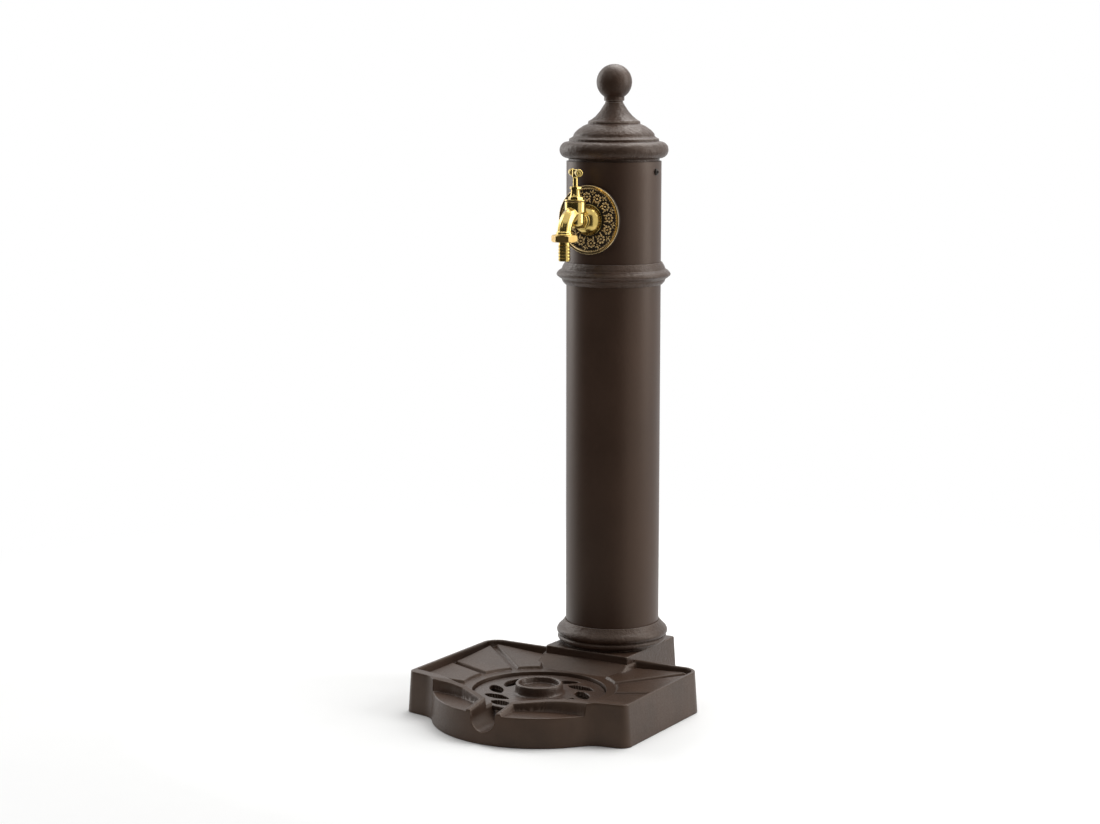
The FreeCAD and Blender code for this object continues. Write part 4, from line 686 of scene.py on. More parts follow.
def half_outline():
    """Right half of the tray's outline, from the middle of the lobe round to the plinth: points,
    and beside each one the angle at the grate's seat where its grid line ends. Lines near the
    spillway run straight back, the others spread evenly between the outline's corners. The lobe
    runs into the front edge along (1 - t)^2 start + 2 t (1 - t) bulge + t^2 end."""
    near = np.concatenate([np.linspace(0, 19.2, 14), [19.7, 19.95, 20.05, 20.4],
                           np.linspace(21.5, 35, 10)])
    front = np.stack([near, DRAIN[1] - np.sqrt(LOBE_RADIUS ** 2 - near ** 2)], axis=-1)
    lobe_start = np.degrees(np.arctan2(front[-1, 1] - DRAIN[1], front[-1, 0]))
    lobe = arc(DRAIN, LOBE_RADIUS, lobe_start, -37.5, 84)
    start, bulge, end = lobe[-1], np.array([130.4, -290.3]), np.array([146.0, -287.4])
    t = np.linspace(0, 1, 20)[:, None]
    blend = (1 - t) ** 2 * start + 2 * t * (1 - t) * bulge + t ** 2 * end
    corner = rounded_line([tuple(end), (180, -281, 12), (180, -180)], spacing=1.5, steps=10)
    side = rounded_line([(180, -180), (180, -56, 25), (112, -56)], spacing=1.5, steps=24)
    back = rounded_line([(112, -56), (70.7, -56), (70.7, -79.3), (0, -79.3)], spacing=1.5)[1:]
    points, angles = [front], [-np.degrees(np.arccos(near / SEAT_RADIUS))]
    for run, first, last in ((lobe, -68.2, -36.5), (blend, -36.4, -30), (corner, -29.8, -4),
                             (side, -3.6, 31)):
        points.append(run[1:])
        angles.append(np.linspace(first, last, len(run) - 1))
    along = np.concatenate([[0], np.cumsum(np.linalg.norm(np.diff(back, axis=0), axis=1))])
    points.append(back)
    angles.append(np.interp(along, [0, 40, 64, along[-1]], [31.4, 39.5, 50, 90]))
    return np.concatenate(points), np.radians(np.concatenate(angles))


def distance_to(line, x, y):
    """Shortest distance from each point to a chain of straight pieces."""
    best = np.full(x.shape, 1e9)
    for a, b in zip(line[:-1], line[1:]):
        run = b - a
        t = np.clip(((x - a[0]) * run[0] + (y - a[1]) * run[1]) / (run @ run), 0, 1)
        best = np.minimum(best, np.hypot(x - a[0] - t * run[0], y - a[1] - t * run[1]))
    return best


def channel_height(x):
    """The half-round floor of the spillway: foot + half - sqrt(half^2 - x^2)."""
    return CHANNEL_FOOT + CHANNEL_HALF - np.sqrt(np.maximum(CHANNEL_HALF ** 2 - x ** 2, 0))


def tray_height(x, y, rim, rim_top):
    """The tray's upper face over the plan. The basin is a cone about the drain, pads stand on it
    inside their nearest edge, the apron is a plane that falls from the plinth, and the rim, the
    front rim and the lips are bands round their own lines. The highest of them counts, then the
    half-round spillway is taken out."""
    x = np.abs(x)
    out_x, out_y = x - DRAIN[0], y - DRAIN[1]
    reach = np.hypot(out_x, out_y)
    bearing = np.degrees(np.arctan2(out_x, out_y))
    rim_gap = distance_to(rim, x, y)
    band_gap = distance_to(FRONT_RIM, x, y)
    pads = np.zeros(x.shape)
    for first, last in zip(PAD_ANGLES, PAD_ANGLES[1:]):
        inside = np.minimum(reach * np.sin(np.radians(bearing - first)),
                            reach * np.sin(np.radians(last - bearing))) - PAD_GAP
        inside = np.minimum(inside, reach - PAD_START)
        inside = np.minimum(inside, np.minimum(rim_gap - 8.2, band_gap - 6.4))
        pads = np.maximum(pads, PAD_HEIGHT * smooth_step(*PAD_BEVEL, inside))
    base = BASIN_FLOOR + BASIN_RISE * (reach - SEAT_RADIUS) + pads
    apron = APRON_TOP + APRON_SLOPE * (y - APRON_Y) - 22 * smooth_step(70.5, 80, x)
    base = np.where(y > -140, np.maximum(base, np.minimum(apron, APRON_TOP)), base)
    line_y = np.interp(x, FRONT_RIM[::-1][1:, 0], FRONT_RIM[::-1][1:, 1])
    base = np.where(y < np.where(x < LIP_X, LIP_Y, line_y), SHELF_TOP, base)
    edge = rim_top - RIM_DEPTH * smooth_step(*RIM_EDGE, rim_gap)
    front_top = np.interp(y, BAND_Y, [*BAND_TOPS, rim_top])
    narrowed = band_gap - BAND_WIDENS * smooth_step(*BAND_WIDE_X, x)
    band = front_top - (front_top - BAND_FOOT) * smooth_step(*BAND_EDGE, narrowed)
    top = np.maximum(base, np.maximum(edge, band))
    return np.where((x <= CHANNEL_HALF) & (y < -285), np.minimum(top, channel_height(x)), top)


def tray_shape(rim_top):
    """Grid lines run from the outline to the grate's seat. The rings begin below: sump, underside
    and foot, then the drafted wall. The next ones keep set distances from the outline, so the rim
    stays crisp, and the rest are spread evenly up to the seat, its ledge and the sump."""
    right, turn = half_outline()
    points = np.concatenate([right, (right * (-1, 1))[::-1][1:-1]])
    angles = np.concatenate([turn, (np.pi - turn)[::-1][1:-1]])
    seat = DRAIN + SEAT_RADIUS * np.stack([np.cos(angles), np.sin(angles)], axis=-1)
    along = np.roll(points, -1, axis=0) - np.roll(points, 1, axis=0)
    along /= np.linalg.norm(along, axis=1)[:, None]
    outward = np.stack([along[:, 1], -along[:, 0]], axis=-1)
    by_plinth = (np.abs(points[:, 0]) < 71) & (points[:, 1] > -80)
    wall = outward * np.where(by_plinth, 0.3, 1)[:, None]
    inward = seat - points
    length = np.linalg.norm(inward, axis=1)
    inward /= length[:, None]
    lean = np.maximum(-np.sum(outward * inward, axis=1), 0.45)
    rim = right[(right[:, 0] > 71) & ((right[:, 1] > -280) | (right[:, 0] > 152))][::2]
    rings = []

    def add(flat, height):
        rings.append(np.concatenate([flat, np.broadcast_to(height, (len(points), 1))], axis=1))

    def height_of(flat):
        return tray_height(flat[:, 0], flat[:, 1], rim, rim_top)[:, None]

    edge = height_of(points)
    draft = np.where(by_plinth, 0, TRAY_DRAFT)[:, None] * outward
    sump = DRAIN + (seat - DRAIN) * 1.06
    add(DRAIN + 0 * points, SUMP_UNDERSIDE)
    add(sump, SUMP_UNDERSIDE)
    inset = points - 6.5 * wall
    for t in np.linspace(1, 0, 8):
        flat = inset + (sump - inset) * t
        deep = smooth_step(29, 25, np.abs(flat[:, 0])) * (flat[:, 1] < -250)
        add(flat, (TRAY_UNDERSIDE - (TRAY_UNDERSIDE - SUMP_UNDERSIDE) * deep)[:, None])
    add(points - 4.5 * wall, 0.0)
    for t in (0.0, 0.02, 0.2, 0.4, 0.6, 0.8, 0.94, 1.0):
        height = edge * t - 0.9 * (t == 1.0)
        add(points + draft * (1 - height / rim_top), np.maximum(height, 0))
    top_draft = draft * (1 - edge / rim_top)
    for gap, drop in ((0.25, 0.35), (0.9, 0.0), (2.0, 0), (3.4, 0), (4.6, 0), (5.2, 0), (5.8, 0),
                      (6.4, 0), (7.0, 0), (7.6, 0), (8.4, 0)):
        flat = points + inward * (gap / lean)[:, None] + top_draft * max(0, 1 - gap / 2)
        add(flat, height_of(flat) - drop)
    first = 8.4 / lean / length
    for t in np.linspace(0.02, 0.985, 66):
        flat = points + inward * (length * (first + (1 - first) * t))[:, None]
        add(flat, height_of(flat))
    for gap, drop in ((0.5, 0.05), (0.15, 0.3), (0.0, 0.8)):
        flat = seat - inward * gap
        add(flat, height_of(flat) - drop)
    for part, height in ((1.0, 33.0), (1.0, SEAT_HEIGHT), (0.99, SEAT_HEIGHT),
                         (0.93, SEAT_HEIGHT), (0.886, SEAT_HEIGHT), (0.8757, 31.0),
                         (0.8757, 24.0), (0.8757, SUMP_FLOOR + 0.6), (0.868, SUMP_FLOOR),
                         (0.6, SUMP_FLOOR), (0.3, SUMP_FLOOR), (0.0, SUMP_FLOOR)):
        flat = DRAIN + (seat - DRAIN) * part
        x = np.abs(flat[:, :1])
        channel = (x <= CHANNEL_HALF) & (flat[:, 1:2] < DRAIN[1])
        add(flat, np.where(channel, np.minimum(height, channel_height(x)), height))
    return np.concatenate(rings), grid_faces(len(rings), len(points), False, True)


class FOUNTAIN_OT_tray(bpy.types.Operator):
    """Builds the cast drip tray with its pads, rim, shelves and spillway"""
    bl_idname = "fountain.tray"
    bl_label = "Drip tray"

    def execute(self, context):
        s = context.scene.fountain_sizes
        add_piece("drip_tray", "stand", tray_shape(s.rim_height / MM), finish("tray_coat"),
                  ["tray"], rough=s.cast_roughness / MM * 0.3, wear=1.6)
        return {"FINISHED"}


# Drain grate. A leaf has its centre's radius, length, width, lean, and angle off its spoke.

GRATE_SECTORS = 10
GRATE_TOP, GRATE_FOOT = 37.5, 31.5
CUP_EDGE, RING_EDGE = 42.0, 88.0
SWIRL, SWIRL_CENTRE = np.radians(-0.8), 64
FRONT_SECTOR = np.radians(267)
LEAF = (SWIRL_CENTRE, 46, 19, np.radians(60), 0.0)
FRONT_HOLE = (77, 40, 21, np.pi / 2, np.radians(258) - FRONT_SECTOR)
LEAF_RIBS, RIB_DEPTH = 30, 0.07


def swirled(radius, angle, height):
    """A point of the grate: its angle grows with its radius, which turns straight spokes into
    a swirl about the drain."""
    return ring_points(angle + SWIRL * (radius - SWIRL_CENTRE), radius, height, DRAIN)


def leaf_line(look, centre, length, width, lean, off):
    """A leaf between two arcs, seen from its middle at the angle look: its point lies
    length/2 * cos(look) along it and width/2 * sin(look) |sin(look)|^0.5 across it. The leaf
    leans from its spoke, and the result is its radius and its angle without the swirl."""
    along = length / 2 * np.cos(look + lean)
    across = width / 2 * np.sin(look + lean) * np.abs(np.sin(look + lean)) ** 0.5
    x = centre + along * np.cos(lean) + across * np.sin(lean)
    y = across * np.cos(lean) - along * np.sin(lean)
    radius = np.hypot(x, y)
    return radius, np.arctan2(y, x) + off - SWIRL * (radius - SWIRL_CENTRE)


def grate_cell(number):
    """One sector with its leaf-shaped slot. The border runs round the sector, and each border
    point has its own point of the leaf; small ribs cross the leaf's walls. Rows run from the
    border to the slot, down its wall and back below. The first sector, over the spillway, has
    one wider hole that lies along the grate's edge."""
    part = FULL_TURN / GRATE_SECTORS
    turn = FRONT_SECTOR + number * part
    across, along = np.linspace(-part / 2, part / 2, 31), np.linspace(CUP_EDGE, RING_EDGE, 47)
    angle = np.concatenate([across, np.full(45, part / 2), across[::-1], np.full(45, -part / 2)])
    radius = np.concatenate([np.full(31, CUP_EDGE), along[1:-1], np.full(31, RING_EDGE),
                             along[::-1][1:-1]])
    leaf, spread = (LEAF, (12, 16)) if number else (FRONT_HOLE, (20, 10))
    centre, length, width, lean, off = leaf
    look = np.arctan2(angle * centre / spread[0], (radius - centre) / spread[1])
    leaf_r, leaf_a = leaf_line(look, *leaf)
    ribs = 1 + RIB_DEPTH * np.sin(np.unwrap(look) * LEAF_RIBS)
    ribbed_r, ribbed_a = leaf_line(look, centre, length, width * ribs, lean, off)
    rows = []

    def border_row(t, height):
        rows.append(swirled(radius + (leaf_r - radius) * t, angle + (leaf_a - angle) * t + turn,
                            height))

    for t in (0, 0.4, 0.75, 0.93):
        border_row(t, GRATE_TOP)
    border_row(1.0, GRATE_TOP - 0.5)
    for height in (GRATE_TOP - 1.6, (GRATE_TOP + GRATE_FOOT) / 2, GRATE_FOOT + 0.4):
        rows.append(swirled(ribbed_r, ribbed_a + turn, height))
    for t in (1.0, 0.5, 0):
        border_row(t, GRATE_FOOT)
    return np.concatenate(rows), grid_faces(len(rows), len(radius), wrap_columns=True)


def grate_shape(edge):
    """Ten sectors between an outer ring and a cup, all turned by the same swirl."""
    upper, lower = GRATE_TOP, GRATE_FOOT
    part = FULL_TURN / GRATE_SECTORS
    angles = np.arange(GRATE_SECTORS * 30) * part / 30 - part / 2 + FRONT_SECTOR
    outer = [(RING_EDGE, upper), (90.5, upper), (edge - 1.2, upper), (edge - 0.35, upper - 0.3),
             (edge, upper - 1), (edge, lower + 0.6), (edge - 0.6, lower), (RING_EDGE, lower)]
    cup = [(CUP_EDGE, upper), (40, upper), (37.2, upper + 0.1), (35.4, upper + 0.7),
           (34.6, upper + 2.2), (34.2, 44), (33.7, 50.6), (33.2, 51.6), (32.2, 52), (30.4, 52),
           (29.4, 51.5), (28.9, 50.2), (28.3, 45), (27.6, 43.6), (26, 43), (18, 42.8), (9, 43),
           (0.0, 43)]
    below = [(0.0, lower), (20, lower), (CUP_EDGE, lower)]
    shapes = [grate_cell(number) for number in range(GRATE_SECTORS)]
    for profile in (outer, cup, below):
        rows = [swirled(np.full(len(angles), float(r)), angles, h) for r, h in profile]
        shapes.append((np.concatenate(rows), grid_faces(len(rows), len(angles), False, True)))
    return joined(*shapes)


class FOUNTAIN_OT_grate(bpy.types.Operator):
    """Builds the lift-out drain grate with its swirled slots and cup"""
    bl_idname = "fountain.grate"
    bl_label = "Drain grate"

    def execute(self, context):
        s = context.scene.fountain_sizes
        add_piece("swirl_grate", "grate", grate_shape(s.grate_radius / MM),
                  finish("rough_cast_coat"), ["drain_grate"],
                  rough=s.cast_roughness / MM, sharp=50)
        return {"FINISHED"}


# Tap. Its tail runs along -Y, and its valve and its outlet stand upright.

TAP_Z = 707.0
ON_TAIL = {"centre": (0, 0, TAP_Z), "axis": (0, -1, 0)}
ON_VALVE = {"centre": (0, -112.0, 0)}
ON_OUTLET = {"centre": (0, -143.0, 0)}
HANDLE_CENTRE, HANDLE_TURN = (0, -112.0, 776.6), np.radians(-45)
BONNET_TURN, UNION_TURN = np.radians(-71), np.radians(49)
TAIL_RIBS, RIB_PITCH = 5, 4.6


def turned(corners, segments, centre=(0, 0, 0), axis=(0, 0, 1), spacing=1.0, flats=None):
    """A solid of revolution: a rounded line that starts and ends on the axis, carried round it."""
    return lathe(rounded_line(corners, spacing=spacing, steps=5), segments, centre, axis,
                 closed=False, flats=flats)


def bent_tube(line, radius, segments, facets, blunt):
    """A section carried along a line in the plane of Y and Z: line + r (cos(a) n + sin(a) x),
    where r is the radius drawn in by blunt (1 - cos(facets a)) / 2 to leave soft flats."""
    step = np.gradient(line, axis=0)
    step /= np.linalg.norm(step, axis=1)[:, None]
    angle = np.arange(segments) * FULL_TURN / segments
    reach = radius[:, None] * (1 - blunt * (1 - np.cos(facets * angle)) / 2)[None]
    out_y = line[:, :1] - reach * np.cos(angle) * step[:, 1:2]
    out_z = line[:, 1:2] + reach * np.cos(angle) * step[:, :1]
    out_x = reach * np.sin(angle)
    return (np.stack([out_x, out_y, out_z], axis=-1).reshape(-1, 3),
            grid_faces(len(line), segments, wrap_columns=True))


def tap_body_shape():
    """Tail, shoulder, neck, valve chamber with its band, bent spout and outlet, as closed shapes
    that run into each other; they are fused and softened afterwards, as in a casting."""
    tail = turned([(0, 60), (10.4, 60, 0.6), (10.4, 92, 0.4), (13, 92, 0.4), (13, 95, 0.8),
                   (10.5, 96, 1.2), (10.5, 112), (0, 112)], 96, **ON_TAIL)
    chamber = turned([(0, 696.6), (7.5, 697.4, 5), (13.4, 702.4, 7), (13.5, 718.4, 0.8),
                      (15.2, 720.2, 0.7), (15.2, 735, 0.5), (0, 735)], 128, **ON_VALVE)
    bend = arc((-115, 690.5), 28, 80, 180, 40)
    radius = np.concatenate([[0.01], 10.2 + 0.5 * np.linspace(1, 0, len(bend)), [0.01]])
    bend = np.concatenate([bend[:1] + (0.01, 0), bend, bend[-1:] - (0, 0.01)])
    spout = bent_tube(bend, radius, segments=96, facets=8, blunt=0.05)
    outlet = turned([(0, 686), (12.9, 686, 0.5), (12.9, 690.6, 0.4), (11.4, 691, 0.4),
                     (11.4, 693.4, 0.8), (10, 694.4), (0, 694.4)], 96, **ON_OUTLET)
    return joined(tail, chamber, spout, outlet)


def fuse(piece, grain, passes):
    """Joins the shells of a piece into one skin of small cells and evens out its creases."""
    remesh = piece.modifiers.new("fuse", "REMESH")
    remesh.mode, remesh.voxel_size, remesh.use_smooth_shade = "VOXEL", grain * MM, True
    even = piece.modifiers.new("even", "SMOOTH")
    even.factor, even.iterations = 0.5, passes
    graph = bpy.context.evaluated_depsgraph_get()
    skin = bpy.data.meshes.new_from_object(piece.evaluated_get(graph))
    piece.modifiers.clear()
    shells, piece.data = piece.data, skin
    bpy.data.meshes.remove(shells)


def bonnet_shape():
    """The screwed head: flange, hexagon and a slender neck that flares at both ends."""
    flange = turned([(0, 736.05), (15.6, 736.05, 0.5), (15.6, 738.3, 0.6), (0, 738.4)], 128,
                    **ON_VALVE)
    hexagon = turned([(0, 738.2), (10.6, 738.2), (10.6, 741.2, 0.2), (9.2, 742.4), (0, 742.4)],
                     144, **ON_VALVE, spacing=0.8, flats=(9.0, BONNET_TURN, 6))
    curve = smooth_line([(8.8, 742.2), (7.9, 743.6), (7.0, 746), (6.6, 749), (6.5, 751.4),
                         (6.9, 753.3)], 0.5)
    neck = lathe(np.concatenate([[(0, 742.2)], curve, [(0, 753.3)]]), 96, **ON_VALVE,
                 closed=False)
    return joined(flange, hexagon, neck)


def gland_nut_shape():
    """A low hexagon on a round washer face, bored for the stem."""
    return lathe(rounded_line([(3.8, 753.45, 0.2), (8.5, 753.45, 0.5), (8.5, 756.0, 0.3),
                               (7.0, 756.9, 0.2), (3.8, 756.9, 0.2)], closed=True, spacing=0.6),
                 144, **ON_VALVE, flats=(7.25, BONNET_TURN, 6))


def spindle_shape():
    """The stem, with a collar under its hub and the hub that takes the bar."""
    return turned([(0, 744), (3.5, 744), (3.5, 768.6, 0.5), (4.6, 770.6, 0.6), (4.7, 776),
                   (4.7, 781, 0.8), (0, 781.8)], 72, **ON_VALVE, spacing=0.8)


def handle_way(side=1):
    """The way the handle's bar points at rest, or the opposite way for the side -1."""
    return (side * np.cos(HANDLE_TURN), side * np.sin(HANDLE_TURN), 0)


def handle_bar_shape():
    """The T bar: a round bar, slightly thicker where it leaves the hub."""
    return turned([(0, -22.2), (2.7, -22.2, 0.4), (2.7, -13, 1), (3.0, -11.5, 1), (3.3, -4.6, 1),
                   (3.3, 4.6, 1), (3.0, 11.5, 1), (2.7, 13, 1), (2.7, 22.2, 0.4), (0, 22.2)], 64,
                  HANDLE_CENTRE, handle_way(), spacing=0.8)


def handle_ends_shape():
    """Two drums on the bar: a ring, a groove and a drum whose face has a shallow turned ring."""
    drum = rounded_line([(2.9, 12.7), (4.7, 12.7, 0.6), (4.7, 14.3, 0.5), (3.5, 14.6, 0.2),
                         (3.5, 15.3, 0.2), (5.0, 15.7, 0.6), (5.25, 18, 1.2), (5.1, 23.0, 1.1),
                         (3.4, 23.0, 0.2), (3.1, 22.7, 0.2), (2.0, 22.7, 0.2), (1.6, 23.1, 0.3),
                         (0, 23.2)], spacing=0.5, steps=4)
    drum = np.concatenate([[(0, 12.7)], drum])
    return joined(*(lathe(drum, 72, HANDLE_CENTRE, handle_way(side), closed=False)
                    for side in (1, -1)))


def union_nut_shape():
    """A low hexagon with turned chamfers on both faces and a lip under the tail's flange."""
    return lathe(rounded_line([(13.3, 689.5, 0.3), (16.4, 689.5, 0.2), (18.9, 688.2, 0.2),
                               (18.9, 680.8, 0.2), (16.4, 679.5, 0.2), (9.5, 679.5, 0.3),
                               (9.5, 681.6, 0.2), (13.3, 681.6, 0.2)], closed=True, spacing=0.7),
                 216, **ON_OUTLET, flats=(16.3, UNION_TURN, 6))


def hose_tail_shape(crest):
    """The hose tail: each rib rises slowly from below and drops square at its top edge."""
    outside = [(6.5, 652, 0.2)]
    for number in range(TAIL_RIBS):
        low = 652.2 + RIB_PITCH * number
        outside += [(crest - 1.1, low, 0.15), (crest - 0.25, low + 3.3, 0.3),
                    (crest - 0.25, low + 4.2, 0.25), (crest - 1.1, low + 4.5, 0.1)]
    outside += [(crest - 1.1, 679.2, 0.3), (9.2, 679.3, 0.1), (9.2, 681.7, 0.1),
                (12.9, 681.8, 0.2), (12.9, 683.5, 0.2), (6.5, 683.5, 0.2)]
    return lathe(rounded_line(outside, closed=True, spacing=0.7, steps=4), 96, **ON_OUTLET)


def dome_cover_shape():
    """A spun half ball, open at the neck, with a turned-in foot on the plate's face."""
    outside = arc((0, 73.4), 22, 59, 4, 39)
    foot = [(22.3, 74.6), (22.3, 73.5), (21.0, 73.4)]
    inside = arc((0, 73.4), 20.4, 2, 57, 15)
    return lathe(np.concatenate([outside, foot, inside]), 160, **ON_TAIL)


class FOUNTAIN_OT_tap(bpy.types.Operator):
    """Builds the tap's body, head, gland nut and the domed cover round its neck"""
    bl_idname = "fountain.tap"
    bl_label = "Tap"

    def execute(self, context):
        brass = finish("buffed_brass")
        body = add_piece("tap_casting", "stand", tap_body_shape(), brass,
                         ["tap_body"])
        fuse(body, grain=0.4, passes=8)
        add_piece("tap_head", "stand", bonnet_shape(), brass, ["tap_bonnet"],
                  sharp=28)
        add_piece("gland_hexagon", "stand", gland_nut_shape(), brass,
                  ["gland_nut"], sharp=28)
        add_piece("domed_cover", "stand", dome_cover_shape(), brass,
                  ["dome_cover"], sharp=40)
        return {"FINISHED"}


class FOUNTAIN_OT_handle(bpy.types.Operator):
    """Builds the stem and the T handle with its drum ends"""
    bl_idname = "fountain.handle"
    bl_label = "Handle"

    def execute(self, context):
        brass = finish("buffed_brass")
        add_piece("stem", "handle", spindle_shape(), brass, ["spindle"],
                  sharp=40)
        add_piece("tee_bar", "handle", handle_bar_shape(), brass,
                  ["handle_bar"], sharp=40)
        add_piece("tee_drums", "handle", handle_ends_shape(), brass,
                  ["handle_ends"], sharp=35)
        return {"FINISHED"}


class FOUNTAIN_OT_outlet(bpy.types.Operator):
    """Builds the union nut and the ribbed hose tail"""
    bl_idname = "fountain.outlet"
    bl_label = "Union and hose tail"

    def execute(self, context):
        add_piece("union_hexagon", "union", union_nut_shape(), finish("worn_brass"),
                  ["union_nut"], sharp=28)
        add_piece("ribbed_tail", "tail",
                  hose_tail_shape(context.scene.fountain_sizes.hose_radius / MM),
                  finish("buffed_brass"), ["hose_tail"], sharp=40)
        return {"FINISHED"}


# Wall plate, with its face toward -Y

PLATE_BACK = 69.85
PLATE_POINTS = 720
PLATE_BORE, PLATE_GROUND = 20.4, 2.6
FLOWERS, PETALS, FLOWER_RADIUS, FLOWER_TURN = 12, 8, 33.5, np.radians(6)
BEADS, BEAD_RADIUS = 72, 44.6


def bump_at(x, y, centre_x, centre_y, long, wide, turn, height):
    """A rounded boss: height sqrt(1 - u^2 - v^2), with u and v measured along and across it."""
    off_x, off_y = x - centre_x, y - centre_y
    u = (off_x * np.cos(turn) + off_y * np.sin(turn)) / long
    v = (off_y * np.cos(turn) - off_x * np.sin(turn)) / wide
    return height * np.sqrt(np.clip(1 - u * u - v * v, 0, 1))


def plate_relief(radius, angle, outer):
    """Relief of the wall plate, as the highest of its bosses, and its rim. Each point is first
    turned back into one of twelve equal sectors. A sector has a flower of eight petals round a
    bead, leaf pairs and curls outside and beside it, and two long leaves that point at the tap.
    A row of small beads runs inside the rim."""
    own = folded(angle - FLOWER_TURN, FLOWERS)
    x, y = radius * np.cos(own) - FLOWER_RADIUS, radius * np.sin(own)
    far, petal = np.hypot(x, y), folded(np.arctan2(y, x), PETALS)
    relief = np.maximum(
        bump_at(far * np.cos(petal), far * np.sin(petal), 5.2, 0, 2.1, 1.9, 0, 1.0),
        bump_at(x, y, 0, 0, 1.8, 1.8, 0, 1.15))
    for side in (-1, 1):
        off = own - side * FULL_TURN / FLOWERS / 2
        x, y = radius * np.cos(off), radius * np.sin(off)
        for leaf in ((41.6, 0, 2.6, 1.3, 0, 0.95), (37.4, 0, 1.2, 1.2, 0, 0.8),
                     (40.2, 3.0, 2.4, 0.95, 1.0, 0.9), (40.2, -3.0, 2.4, 0.95, -1.0, 0.9),
                     (26.6, 2.6, 2.7, 1.0, 0.5, 0.85), (26.6, -2.6, 2.7, 1.0, -0.5, 0.85)):
            relief = np.maximum(relief, bump_at(x, y, *leaf))
    bead = radius * folded(angle, BEADS)
    relief = np.maximum(relief, bump_at(radius, bead, BEAD_RADIUS, 0, 0.8, 1.5, 0, 0.6))
    rim = smooth_step(outer - 5.6, outer - 4.9, radius) * smooth_step(outer, outer - 0.9, radius)
    dish = 1 - 0.25 * np.clip((radius - outer + 2.4) / 2.4, -1, 1) ** 2
    return relief, rim * dish


def wall_plate_shape(outer, relief_height):
    """The plate's face as rings of points whose height is the relief, with one ring below it at
    the bore and two behind the rim; and how much of the dark ground each point has."""
    angle = np.arange(PLATE_POINTS) * FULL_TURN / PLATE_POINTS
    face = np.concatenate([[PLATE_BORE], np.arange(21.5, outer - 5.2, 0.33),
                           np.arange(outer - 5.2, outer + 0.01, 0.4)])
    radius, turn = np.meshgrid(face, angle, indexing="ij")
    bosses, rim = plate_relief(radius, turn, outer)
    height = PLATE_BACK + PLATE_GROUND + relief_height * bosses + 2.4 * rim
    low = (1 - smooth_step(0.2, 0.6, bosses)) * (1 - smooth_step(0.3, 0.8, rim))
    bore, edge, back = (np.broadcast_to((r, PLATE_BACK + h), (1, PLATE_POINTS, 2)) for r, h in
                        ((PLATE_BORE, 0.3), (outer, 1.6), (outer - 0.6, 0.3)))
    profile = np.concatenate([bore, np.stack([radius, height], axis=-1), edge, back])
    ground = np.pad(low, ((1, 2), (0, 0)), constant_values=1.0).ravel()
    far, up = profile[..., 0], profile[..., 1]
    points = np.stack([far * np.cos(angle), -up, TAP_Z + far * np.sin(angle)], axis=-1)
    return (points.reshape(-1, 3), grid_faces(len(profile), PLATE_POINTS, True, True)), ground


class FOUNTAIN_OT_wall_plate(bpy.types.Operator):
    """Builds the round plate with its flowers and raised rim"""
    bl_idname = "fountain.wall_plate"
    bl_label = "Wall plate"

    def execute(self, context):
        s = context.scene.fountain_sizes
        shape, ground = wall_plate_shape(s.plate_radius / MM, s.plate_relief / MM)
        add_piece("flower_plate", "stand", shape, finish("stained_brass"),
                  ["rosette"], fields={"ground": ground})
        return {"FINISHED"}


# Finishes of the CAD nodes, those that keep their shape and those that a piece replaces

NODE_FINISHES = {
    "black_oxide": ["cap_screws", "column_screws", "collar_screws"],
    "zinc_plate": ["tray_bolts", "tray_nuts", "finial_stud", "finial_washer", "finial_nut",
                   "tap_saddle"],
    "machined_brass": ["tap_locknut", "tap_elbow", "foot_elbow", "supply_pipe",
                       "supply_locknut", "riser_nuts", "valve_jumper"],
    "drawn_copper": ["riser_pipe"],
    "red_fibre": ["bonnet_gasket", "gland_packing"],
    "black_rubber": ["valve_washer", "tail_washer"],
    "sand_cast_coat": ["tray", "plinth", "drain_grate", "base_collar", "mid_collar", "cap",
                       "finial"],
    "tube_coat": ["column_tube"],
    "stained_brass": ["rosette"],
    "buffed_brass": ["dome_cover", "tap_body", "tap_bonnet", "gland_nut", "spindle",
                     "handle_bar", "handle_ends", "union_nut", "hose_tail"],
}


class FOUNTAIN_OT_fittings(bpy.types.Operator):
    """Gives each piece of the construction its finish"""
    bl_idname = "fountain.fittings"
    bl_label = "Fittings"

    def execute(self, context):
        for name, nodes in NODE_FINISHES.items():
            for node in nodes:
                dress_node(node, finish(name))
        return {"FINISHED"}


# Studio, in metres and watts. A lamp has its place, target, size and power; the flag's outline has
# radii and heights, and its angles are in degrees.

LAMPS = [
    ("key", (2.4, 1.2, 1.5), (0, 0, 0.5), (1.2, 2.6), 48),
    ("left", (-2.6, 0.2, 1.4), (0, 0, 0.5), (1.0, 2.6), 30),
    ("front", (-0.4, -2.9, 2.5), (0, 0, 0.4), (1.3, 0.9), 8),
    ("top", (0.1, 1.0, 2.7), (0, -0.1, 0.1), (2.4, 1.6), 66),
]
# The flag is painted shade: a dark sheet in front of and below the part that only reflections see.
FLAG_LINE = [(0.75, 0.002), (3.6, 0.002), (3.9, 0.3), (3.9, 4.2)]
FLAG_ANGLES = (-160, -30)
WORLD_LEVEL = 0.34
FLOOR_HALF, FLOOR_Z = 30, -0.0006
PAPER_NEAR, PAPER_FAR = 0.55, 1.5
LENS_LENGTH, SENSOR_WIDTH = 73.47, 36.0
CAMERA_PLACE = (1.6255, -2.8896, 0.9067)
CAMERA_TURN = (np.pi / 2 - 0.146667, 0, 0.540756)


def seen_by_eye(tree):
    """1 for what the camera sees straight, in a reflection or through glass."""
    path = add_node(tree, "LightPath").outputs
    either = add_node(tree, "Math", {0: path["Is Camera Ray"], 1: path["Is Glossy Ray"]},
                      operation="MAXIMUM")
    return add_node(tree, "Math", {0: either, 1: path["Is Transmission Ray"]},
                    operation="MAXIMUM")


